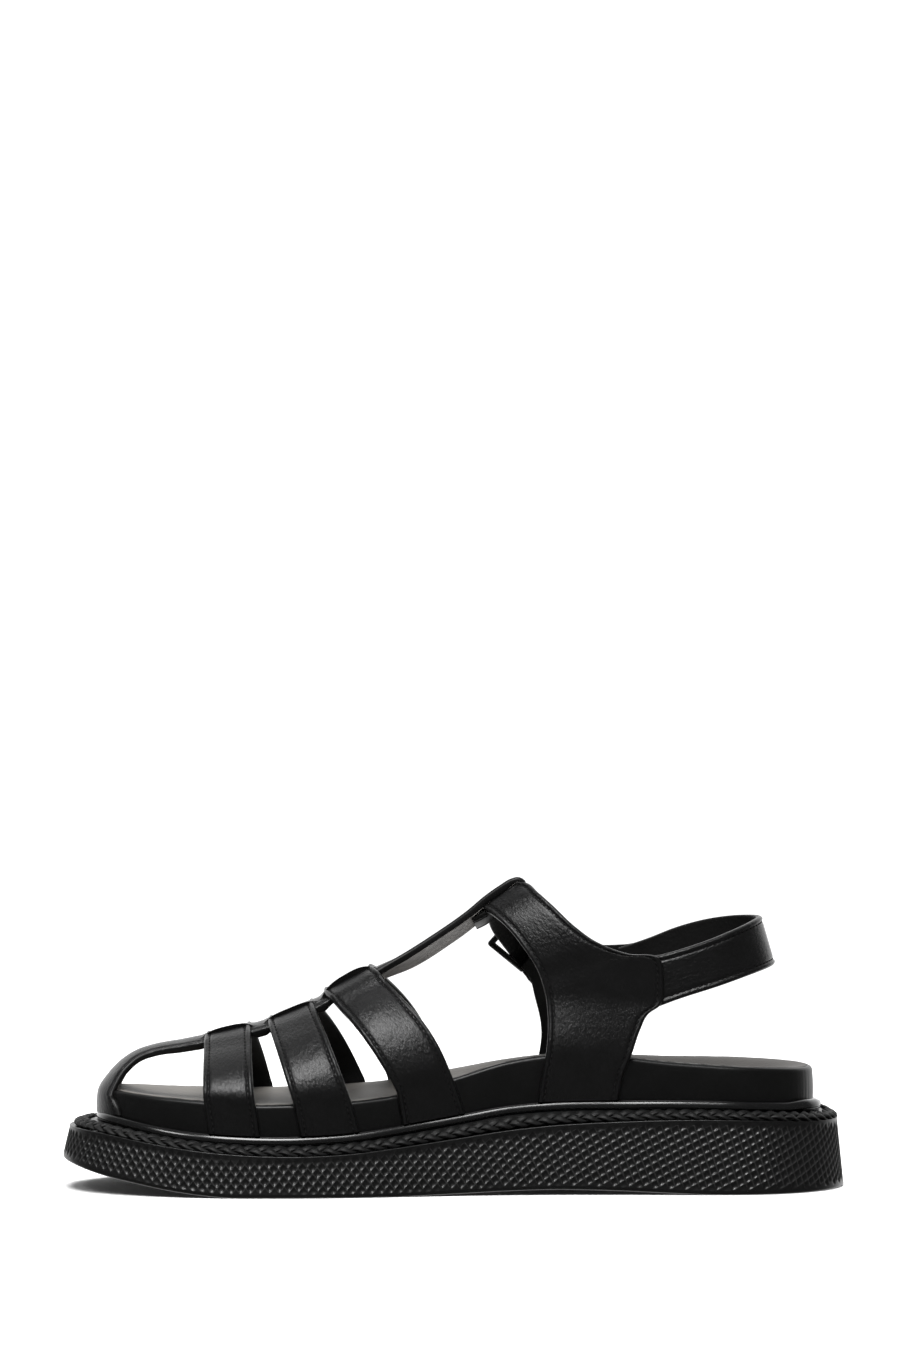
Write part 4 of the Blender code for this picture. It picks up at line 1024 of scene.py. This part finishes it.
def makeCrossStrap(number):
    ridgeFront, ridgeRear, sideFront, sideRear, footFront, footRear, shift, bow, bridge = crossStraps[number]
    c = crossFit
    turns = [np.linspace(0.0, 0.3, 26), np.linspace(0.3, 0.8, 34)[1:], np.linspace(0.8, 1.0, 16)[1:]]
    turns = np.concatenate(turns)
    rows = [(turn, 0.0) for turn in turns[:0:-1]] + [(turn, 1.0) for turn in turns]
    shares = np.linspace(0.0, 1.0, 25)
    ridge = ridgeFront + (ridgeRear - ridgeFront) * shares
    bow = bow + c["rearBow"][number] * shares
    face = []
    for turn, outer in rows:
        sideAt = sideFront + (sideRear - sideFront) * shares + shift * outer
        footAt = footFront + (footRear - footFront) * shares + shift * outer
        out, up = quarterArch(min(turn / c["sideTurn"], 1.0))
        down = max((turn - c["sideTurn"]) / (1 - c["sideTurn"]), 0.0)
        if down > 0:
            station = sideAt + (footAt - sideAt) * down
        else:
            station = ridge + (sideAt - ridge) * (1 - up) + 4 * bow * (1 - up) * up
        reach = halfWidth(station) + lastShape["gap"] + strap["thick"]
        edgeAt = planColumn(1, station) + np.where(outer > 0, reach, -reach)
        shoulder = level("bed", station, outer) + c["shoulder"]
        foot = level("welt", station, outer) + lastShape["gap"]
        middle = ridgeColumn(2, station)
        y = middle + (edgeAt - middle) * out
        z = shoulder + (ridgeColumn(1, station) - shoulder) * up + (foot - shoulder) * down
        face.append(np.column_stack([station, y, z]))
    face = np.array(face)
    normal = facing(face, len(rows) // 2, 2)
    away = np.abs(face[..., 1] - ridgeColumn(2, face[..., 0])) / ridgeColumn(3, face[..., 0])
    outOfSlit = ease((away - c["rise"][0]) / c["rise"][1])
    overMargin = ease((c["fall"][0] - away) / c["fall"][1]) * outOfSlit
    lift = c["hump"][number] * overMargin + (bridge - strap["thick"] + c["lap"]) * (1 - outOfSlit)
    turn, outer = np.array(rows).T[..., None]
    onFlank = ease((turn - c["flank"][0]) / c["flank"][1]) * ease((c["flank"][2] - turn) / c["flank"][3])
    lift = lift + c["crown"][number] * onFlank * (1 - (2 * shares - 1) ** 2)
    signed = np.where(outer > 0, turn, -turn)
    for which, creaseTurn, share, depth, width in c["creases"]:
        if which == number:
            line = -creaseTurn + 0.03 * np.sin(shares * 9 + creaseTurn * 40)
            lift = lift - hill(signed, depth, line, width) * hill(shares, 1.0, share, 0.3)
    face, distance = respread(face + normal * lift[..., None])
    normal = facing(face, len(rows) // 2, 2)
    addStrap(f"upper_crossStrap{number + 1}", face, normal, distance, strap["thick"])


# Quarters and ankle strap: front and rear edge as seen from the side, from the welt to the crest
ankle = {
    "innerQuarter": [  # front, front height, rear, rear height
        (167.2, 31.9, 195.2, 32.2),
        (168.2, 38.5, 196.7, 40.3),
        (169.7, 46.7, 199.9, 48.4),
        (170.5, 54.1, 202.8, 56.7),
        (170.6, 60.6, 205.8, 62.3),
        (170.2, 65.6, 210.2, 65.5),
        (169.6, 69.1, 211.0, 71.1),
        (168.6, 72.6, 209.0, 81.7),
        (167.6, 75.5, 199.0, 82.8),
        (165.6, 79.3, 188.4, 86.7),
        (162.0, 84.6, 180.0, 92.5),
        (157.4, 90.4, 172.6, 99.4),
        (152.9, 94.7, 167.2, 104.1),
        (149.4, 97.2, 163.4, 107.1),
    ],
    "crest": (147.9, 98.0, 160.8, 107.2),
    "dome": (6.8, 1.8, 0.3),  # inner row from which it rounds over the instep, fullness, share to start in
    "outerStrap": [
        (149.3, 96.8, 161.7, 105.9),
        (149.6, 93.5, 162.6, 103.3),
        (151.0, 89.2, 164.2, 99.9),
        (154.0, 84.6, 165.8, 97.3),
        (158.8, 78.1, 170.8, 92.4),
        (164.2, 70.8, 177.8, 86.7),
        (170.5, 64.0, 185.2, 80.8),
        (178.6, 58.6, 192.6, 75.0),
        (186.0, 56.2, 198.0, 70.4),
        (190.6, 54.8, 199.8, 65.6),
        (194.4, 56.2, 198.6, 61.2),
    ],
    "outerQuarter": [
        (167.2, 30.0, 195.2, 30.3),
        (168.0, 38.5, 196.7, 40.3),
        (169.1, 46.7, 199.9, 48.4),
        (169.3, 52.3, 202.8, 56.7),
        (168.6, 57.6, 205.8, 62.3),
        (167.4, 62.1, 210.2, 66.5),
        (166.6, 65.1, 211.0, 73.1),
        (166.0, 67.8, 209.0, 83.9),
        (165.4, 69.8, 199.0, 83.0),
        (164.8, 71.4, 189.0, 83.0),
        (163.6, 73.1, 180.6, 85.6),
        (161.4, 75.3, 174.0, 89.9),
    ],
    "ridge": [(100.0, 70.1), (125.0, 83.7), (149.2, 98.8), (160.8, 107.0), (180.0, 120.6)],
    "ridgeAcross": -8.0,
    "centre": 198.0,
    "half": (30.5, 28.0),  # half width of the ankle
    "halfHeights": (62.0, 105.0),
    "turnIn": (0.3, 0.7),  # share of the way forward at which the axis starts to shift, run
    "blend": 22.0,  # height over the footbed in which the oval takes over
    "fullness": (2.0, 2.4),
    "heelBack": (252.6, 78.1, 0.29),  # station, at height, lean
    "rise": [(0.0, 0.0), (34.5, 0.0), (46.0, 4.4), (50.0, 5.1), (61.0, 1.7), (100.0, 1.7)],  # run, lift
    "holes": [(53.0, 1.0), (60.0, 1.0), (67.0, 1.0), (74.0, 1.0)],  # run, radius
}


def anklePoints(station, height, outer):
    a = ankle
    ridge = np.array(a["ridge"])
    front = np.interp(height, ridge[:, 1], ridge[:, 0])
    back = a["heelBack"][0] - a["heelBack"][2] * (height - a["heelBack"][1])
    half = np.interp(height, a["halfHeights"], a["half"])
    ahead = station < a["centre"]
    reach = np.abs(station - a["centre"]) / np.where(ahead, a["centre"] - front, back - a["centre"])
    fullness = np.where(ahead, *a["fullness"])
    oval = half * np.maximum(0.0, 1.0 - reach**fullness) ** (1.0 / fullness)
    plainAxis = planColumn(1, station)
    turnIn = ease((np.minimum(reach, 1.0) - a["turnIn"][0]) / a["turnIn"][1])
    axis = plainAxis + np.where(ahead, (a["ridgeAcross"] - plainAxis) * turnIn, 0.0)
    blend = ease((height - level("bed", station, float(outer))) / a["blend"])
    sign = 1.0 if outer else -1.0
    byFoot = plainAxis + sign * (halfWidth(station) + lastShape["gap"] + strap["thick"])
    return np.stack([station, byFoot + (axis + sign * oval - byFoot) * blend, height], axis=-1)


def fanRows(table, shares):
    # rows at shares of the run, and which row of the table each one is at
    values = np.array(table, float)
    run = runAlong((values[:, :2] + values[:, 2:]) / 2)
    at = shares * run[-1]
    rows = np.column_stack([smoothCurve(run, values[:, k], at) for k in range(4)])
    return rows, np.interp(at, run, np.arange(len(run)))


def fanFace(rows, outer):
    shares = np.linspace(0.0, 1.0, 25)
    station = rows[:, :1] + (rows[:, 2:3] - rows[:, :1]) * shares
    height = rows[:, 1:2] + (rows[:, 3:] - rows[:, 1:2]) * shares
    return anklePoints(station, height, outer)


def seatOnWelt(rows, index, outer):
    for column in (0, 2):
        rows[index, column + 1] = level("welt", rows[index, column], float(outer)) + lastShape["gap"]


def makeAnkleStrap():
    a = ankle
    shares = np.linspace(0.0, 1.0, 121)[1:]  # denser towards the crest
    inner, tableRow = fanRows([a["crest"]] + a["innerQuarter"][::-1], shares**1.35)
    outer, _ = fanRows([a["crest"]] + a["outerStrap"], shares**1.25)
    seatOnWelt(inner, -1, False)
    near = fanFace(inner[::-1], False)
    crest = fanFace(np.array([a["crest"]]), True)
    fromRow, full, begin = a["dome"]
    first = int(np.argmin(np.abs(len(a["innerQuarter"]) - tableRow[::-1] - fromRow)))
    foot, top = near[first], crest[0]
    climb = np.clip((near[first:, :, 2] - foot[:, 2]) / (top[:, 2] - foot[:, 2]), 0.0, 1.0)
    dome = foot[:, 1] + (top[:, 1] - foot[:, 1]) * (1 - (1 - climb**full) ** (1 / full))
    near[first:, :, 1] += (dome - near[first:, :, 1]) * ease(climb / begin)
    face = np.vstack([near, crest, fanFace(outer, True)])
    run = runAlong(face[len(near) :].mean(axis=1))
    rise = np.array(a["rise"])
    dense = np.linspace(0.0, 100.0, 401)
    lifts = np.interp(dense, rise[:, 0], rise[:, 1])
    lifts = np.convolve(np.pad(lifts, 8, mode="edge"), np.ones(17) / 17, mode="valid")  # eased corners
    lift = np.concatenate([np.zeros(len(near)), np.interp(run, dense, lifts)])
    face, distance = respread(face + facing(face, len(near), 2) * lift[:, None, None])
    normal = facing(face, len(near), 2)
    addStrap("upper_ankleStrap", face, normal, distance, strap["thick"])
    middle = face.shape[1] // 2
    holes = []
    for at, radius in a["holes"]:
        row = len(near) + int(np.argmin(np.abs(run - at)))
        way = unit(face[row + 1, middle] - face[row - 1, middle])
        holes.append((face[row, middle], normal[row, middle], way, radius))
    return holes


def makeOuterQuarter():
    rows, _ = fanRows(ankle["outerQuarter"], np.linspace(0.0, 1.0, 110))
    seatOnWelt(rows, 0, True)
    face, distance = respread(fanFace(rows, True))
    addStrap("upper_outerQuarter", face, facing(face, 40, 1), distance, strap["thick"])


# Heel strap: from quarter to quarter round the back, its ends under the quarters
heelStrap = {
    "rows": [  # station, low edge, high edge, rise on the outer side
        (197.0, 61.3, 80.7, 1.5),
        (209.0, 64.9, 82.2, 3.6),
        (218.0, 67.9, 84.4, 4.7),
        (229.0, 71.2, 87.6, 4.5),
        (242.0, 75.2, 91.8, 2.5),
        (252.6, 78.2, 95.3, 0.0),
    ],
    "sink": (3.6, 1.3),  # under the quarters, behind them
    "sinkRun": (199.0, 12.0),
    "steps": 81,  # rows on each side
    "sewn": (14, 147),  # rows that show
}


def makeHeelStrap():
    h = heelStrap
    table = np.array(h["rows"])
    backAt, backHeight, lean = ankle["heelBack"]
    start = table[0, 0]
    along = start + (backAt - start) * np.sin(np.linspace(0.0, 1.0, h["steps"]) * math.pi / 2)
    low, high, rise = [smoothCurve(table[:, 0], table[:, k], along) for k in (1, 2, 3)]
    face = []
    for outer, order in ((False, range(h["steps"])), (True, range(h["steps"] - 2, -1, -1))):
        for i in order:
            height = np.linspace(low[i], high[i], 21) + (rise[i] if outer else 0.0)
            back = backAt - lean * (height - backHeight)
            station = start + (back - start) * (along[i] - start) / (backAt - start)
            face.append(anklePoints(station, height, outer))
    face, distance = respread(np.array(face))
    normal = facing(face, h["steps"] - 1, 0)
    deep, shallow = h["sink"]
    out = ease((face[..., :1] - h["sinkRun"][0]) / h["sinkRun"][1])
    face = face - normal * (deep + (shallow - deep) * out)
    addStrap("upper_heelStrap", face, normal, distance, strap["thick"], h["sewn"])


makeToeBar()
for number in range(3):
    makeCrossStrap(number)
strapHoles = makeAnkleStrap()
makeOuterQuarter()
makeHeelStrap()


def makeStitches():
    sides = 6
    turn = np.linspace(0.0, 2 * math.pi, sides + 1)[:-1]
    ends, swell = np.array(stitch["shape"]).T
    girth = stitch["radius"] * swell
    dip = stitch["dip"] * (1 - swell) - stitch["proud"]
    points, faces = [], []
    for line, lift in stitchRuns:
        run = runAlong(line)
        count = int(run[-1] / stitch["pitch"])
        for middle in (np.arange(count) + 0.5) * run[-1] / max(count, 1):
            centre = readAt(middle + ends * stitch["length"], run, line)
            way = unit(centre[-1] - centre[0])
            side = unit(np.cross(unit(readAt(middle, run, lift)), way))
            up = np.cross(way, side)
            rings = centre[:, None] - up * dip[:, None, None]
            rings = rings + side * (np.cos(turn) * girth[:, None])[..., None]
            rings = rings + up * (np.sin(turn) * girth[:, None] * stitch["flat"])[..., None]
            first = len(points) * len(ends) * sides
            faces.append(gridFaces(len(ends), sides, closedColumns=True, first=first))
            points.append(rings.reshape(-1, 3))
    addPiece("upper_stitches", np.vstack(points), np.vstack(faces), [thread], ["upper"])


makeStitches()

# Punched holes: a dark well with its pressed-in rim
strapHole = {
    "sides": 24,
    "profile": [  # out, up
        (1.35, 0.03),
        (1.15, 0.06),
        (1.0, -0.02),
        (0.92, -0.35),
        (0.9, -0.9),
        (0.0, -0.9),
    ],
}


def makeStrapHoles(holes):
    sides, profile = strapHole["sides"], strapHole["profile"]
    turn = np.linspace(0.0, 2 * math.pi, sides + 1)[:-1, None]
    points, faces = [], []
    for centre, up, way, radius in holes:
        faces.append(gridFaces(len(profile), sides, closedColumns=True, first=len(points) * sides))
        across = np.cos(turn) * way + np.sin(turn) * np.cross(up, way)
        points += [centre + across * reach * radius + up * height for reach, height in profile]
    addPiece("upper_strapHoles", np.vstack(points), np.vstack(faces), [edge], ["upper"])


makeStrapHoles(strapHoles)

# Buckle: pressed frame with a double bevel, a flat prong on its front bar
buckle = {
    "size": (24.4, 19.0),
    "corner": 1.1,
    "shift": (0.7, 0.0, 1.1),
    "profile": [  # inset from the outside, height
        (0.35, 0.0),
        (0.0, 0.35),
        (0.0, 0.9),
        (0.4, 1.42),
        (0.95, 1.5),
        (1.2, 1.22),
        (1.4, 1.5),
        (1.85, 1.42),
        (2.2, 0.95),
        (2.2, 0.35),
        (1.9, 0.0),
        (1.5, 0.0),
        (1.25, 0.26),
        (1.0, 0.0),
    ],
    "sink": 0.75,  # half the frame's height
    "leastCorner": 0.35,
    "prong": (2.4, 8.8, 1.3),  # width, length, thickness
    "prongRows": [  # share of the length, girth, up
        (0.0, 0.55, -0.25),
        (0.03, 0.85, 0.0),
        (0.12, 1.0, 0.05),
        (0.8, 0.9, 0.0),
        (0.95, 0.72, -0.2),
        (1.0, 0.4, -0.35),
    ],
    "prongSides": 16,
    "prongStart": -10.3,
    "prongUp": 1.8,
}


def buckleSeat():
    # axes of the buckle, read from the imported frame: across the strap, along it, out of it
    corners = np.array([v.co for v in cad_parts["buckle_frame"].data.vertices]) * 1000
    spread = corners - corners.mean(axis=0)
    axes = np.linalg.eigh(spread.T @ spread)[1][:, ::-1].T
    along = axes[1] * np.sign(axes[1][0])
    out = axes[2] * np.sign(axes[2][1])
    side = np.cross(along, out)
    centre = sum(((spread @ a).max() + (spread @ a).min()) / 2 * a for a in (side, along, out))
    return corners.mean(axis=0) + centre + np.array(buckle["shift"]), side, along, out


def makeBuckle():
    b = buckle
    origin, side, along, out = buckleSeat()
    origin = origin + np.array([*lastShape["middle"], 0.0]) - out * b["sink"]
    quarter = np.linspace(0, math.pi / 2, 7)
    points = []
    for inset, height in b["profile"]:
        corner = max(b["corner"] - inset, b["leastCorner"])
        middle = np.array(b["size"]) / 2 - inset - corner
        loop = []
        for k, signs in enumerate([(1, 1), (-1, 1), (-1, -1), (1, -1)]):
            angle = quarter + k * math.pi / 2
            loop.append(middle * signs + corner * np.column_stack([np.cos(angle), np.sin(angle)]))
        loop = np.vstack(loop)
        points.append(origin + loop[:, :1] * side + loop[:, 1:] * along + out * height)
    faces = gridFaces(len(points), len(points[0]), True, True)
    addPiece("buckle_rim", np.vstack(points), faces, [steel], ["buckle_frame"],
             sharpAngle=35)
    width, length, thick = b["prong"]
    sides = b["prongSides"]
    turn = np.linspace(0, 2 * math.pi, sides + 1)[:-1]
    section = np.column_stack([np.cos(turn), np.sin(turn)])
    section = np.sign(section) * np.abs(section) ** 0.6 / 2
    points = []
    for share, girth, up in b["prongRows"]:
        centre = origin + along * (b["prongStart"] + length * share) + out * (b["prongUp"] + thick / 2 + up)
        shape = section * (width * girth, thick * (0.6 + 0.4 * girth))
        points.append(centre + shape[:, :1] * side + shape[:, 1:] * out)
    rows = len(points)
    faces = [*gridFaces(rows, sides, closedColumns=True), range(sides)]
    faces.append(range(rows * sides - 1, (rows - 1) * sides - 1, -1))
    addPiece("buckle_tongue", np.vstack(points), faces, [steel], ["buckle_prong"],
             sharpAngle=45)


makeBuckle()

# Studio: white table, bright wall behind the shoe, dark room in front, a soft box and a small one
# over the toe side
studio = {
    "floorColours": ("#f1f1f1", "#f3f3f3"),
    "floorCloud": 333.0,  # millimetres
    "floorReach": (1.1, -0.8, 0.85),  # to either side, in front, behind
    "room": 0.115,
    "wall": 1.1,
    "wallSpread": (0.4, 0.95),  # how far behind the shoe the wall starts and is full
    "wallFade": [(0.0, 1.0), (0.32, 1.0), (0.52, 0.7), (0.72, 0.6), (0.88, 0.5), (1.0, 0.2)],  # rise, share
    "lights": [  # name, place, aim, size, power, seen in reflections
        ("keyBox", (-0.22, -0.78, 1.46), (-0.02, 0.0, 0.06), (0.62, 0.62), 16.0, True),
        ("toeSideStrip", (-0.81, -0.68, 1.12), (-0.02, 0.0, 0.03), (0.25, 0.25), 2.4, True),
        ("tableLight", (0.0, 0.25, 1.6), (0.0, 0.25, 0.0), (1.4, 1.2), 52.0, False),
    ],
}


def makeFloor():
    side, front, back = studio["floorReach"]
    corners = [(-side, front, 0), (side, front, 0), (side, back, 0), (-side, back, 0)]
    mesh = bpy.data.meshes.new("studioFloor")
    mesh.from_pydata(corners, [], [(0, 1, 2, 3)])
    floor = bpy.data.objects.new("studioFloor", mesh)
    # paper sweep, uncoated: matt and nearly white
    made, tree = newMaterial("mattPaperSweep", {"Roughness": 0.9, "Specular IOR Level": 0.1})
    tone = pattern(tree, "ShaderNodeTexNoise", studio["floorCloud"], Detail=1.0)
    mesh.materials.append(dress(made, colour=(tone, *studio["floorColours"])))
    floor.visible_glossy = False  # keeps the table's glare off the upright leather
    scene.collection.objects.link(floor)


def makeRoom():
    world = bpy.data.worlds.new("studioRoom")
    world.use_nodes = True
    tree = world.node_tree
    place = addNode(tree, "ShaderNodeTexCoord").outputs["Generated"]
    axes = addNode(tree, "ShaderNodeSeparateXYZ", links={"Vector": place})
    plan = addNode(tree, "ShaderNodeVectorMath", {"operation": "MULTIPLY", 1: (1.0, 1.0, 0.0)}, {0: place})
    compass = addNode(tree, "ShaderNodeVectorMath", {"operation": "NORMALIZE"}, {0: plan.outputs["Vector"]})
    heading = addNode(tree, "ShaderNodeSeparateXYZ", links={"Vector": compass.outputs["Vector"]})
    start, full = studio["wallSpread"]
    behind = addNode(
        tree,
        "ShaderNodeMapRange",
        {"interpolation_type": "SMOOTHSTEP", "From Min": start, "From Max": full, "To Max": studio["wall"]},
        {"Value": heading.outputs["Y"]},
    )
    fade = addNode(tree, "ShaderNodeValToRGB", links={"Fac": axes.outputs["Z"]})
    for at, _ in studio["wallFade"][1:-1]:
        fade.color_ramp.elements.new(at)
    for element, (at, share) in zip(fade.color_ramp.elements, studio["wallFade"]):
        element.position = at
        element.color = (share, share, share, 1.0)
    glow = addNode(
        tree,
        "ShaderNodeMath",
        {"operation": "MULTIPLY_ADD", 2: studio["room"]},
        {0: behind.outputs["Result"], 1: fade.outputs["Color"]},
    )
    tree.links.new(glow.outputs["Value"], tree.nodes["Background"].inputs["Strength"])
    tree.nodes["Background"].inputs["Color"].default_value = hexColour("#ffffff")
    scene.world = world


def makeLights():
    for name, spot, aim, box, power, seen in studio["lights"]:
        lamp = bpy.data.lights.new(name, "AREA")
        lamp.shape = "RECTANGLE"
        lamp.size, lamp.size_y = box
        lamp.energy = power
        holder = bpy.data.objects.new(name, lamp)
        holder.location = spot
        holder.rotation_euler = (Vector(aim) - Vector(spot)).to_track_quat("-Z", "Y").to_euler()
        holder.visible_glossy = seen
        scene.collection.objects.link(holder)


makeFloor()
makeRoom()
makeLights()
scene.view_settings.view_transform = "Standard"

# Camera: level, two metres off, a little above the shoe; pixels are those of the 900 x 1350 frame
photo = {
    "width": 900,
    "height": 1350,
    "distance": 2.0,
    "rise": 0.195,
    "metresPerPixel": 0.3535e-3,
    "originPixel": (453.9, 1183.5),
    "sensor": 36.0,
}


def makeCamera():
    lens = bpy.data.cameras.new("photoCamera")
    focal = photo["distance"] / photo["metresPerPixel"]
    lens.sensor_fit = "VERTICAL"
    lens.sensor_height = photo["sensor"]
    lens.sensor_width = photo["sensor"]
    lens.lens = photo["sensor"] * focal / photo["height"]
    horizon = photo["originPixel"][1] - focal * photo["rise"] / photo["distance"]
    lens.shift_x = -(photo["originPixel"][0] - photo["width"] / 2) / photo["height"]
    lens.shift_y = (horizon - photo["height"] / 2) / photo["height"]
    camera = bpy.data.objects.new("photoCamera", lens)
    camera.location = (0.0, -photo["distance"], photo["rise"])
    camera.rotation_euler = (math.pi / 2, 0.0, 0.0)
    scene.collection.objects.link(camera)
    scene.camera = camera


makeCamera()
print("studio and camera set")
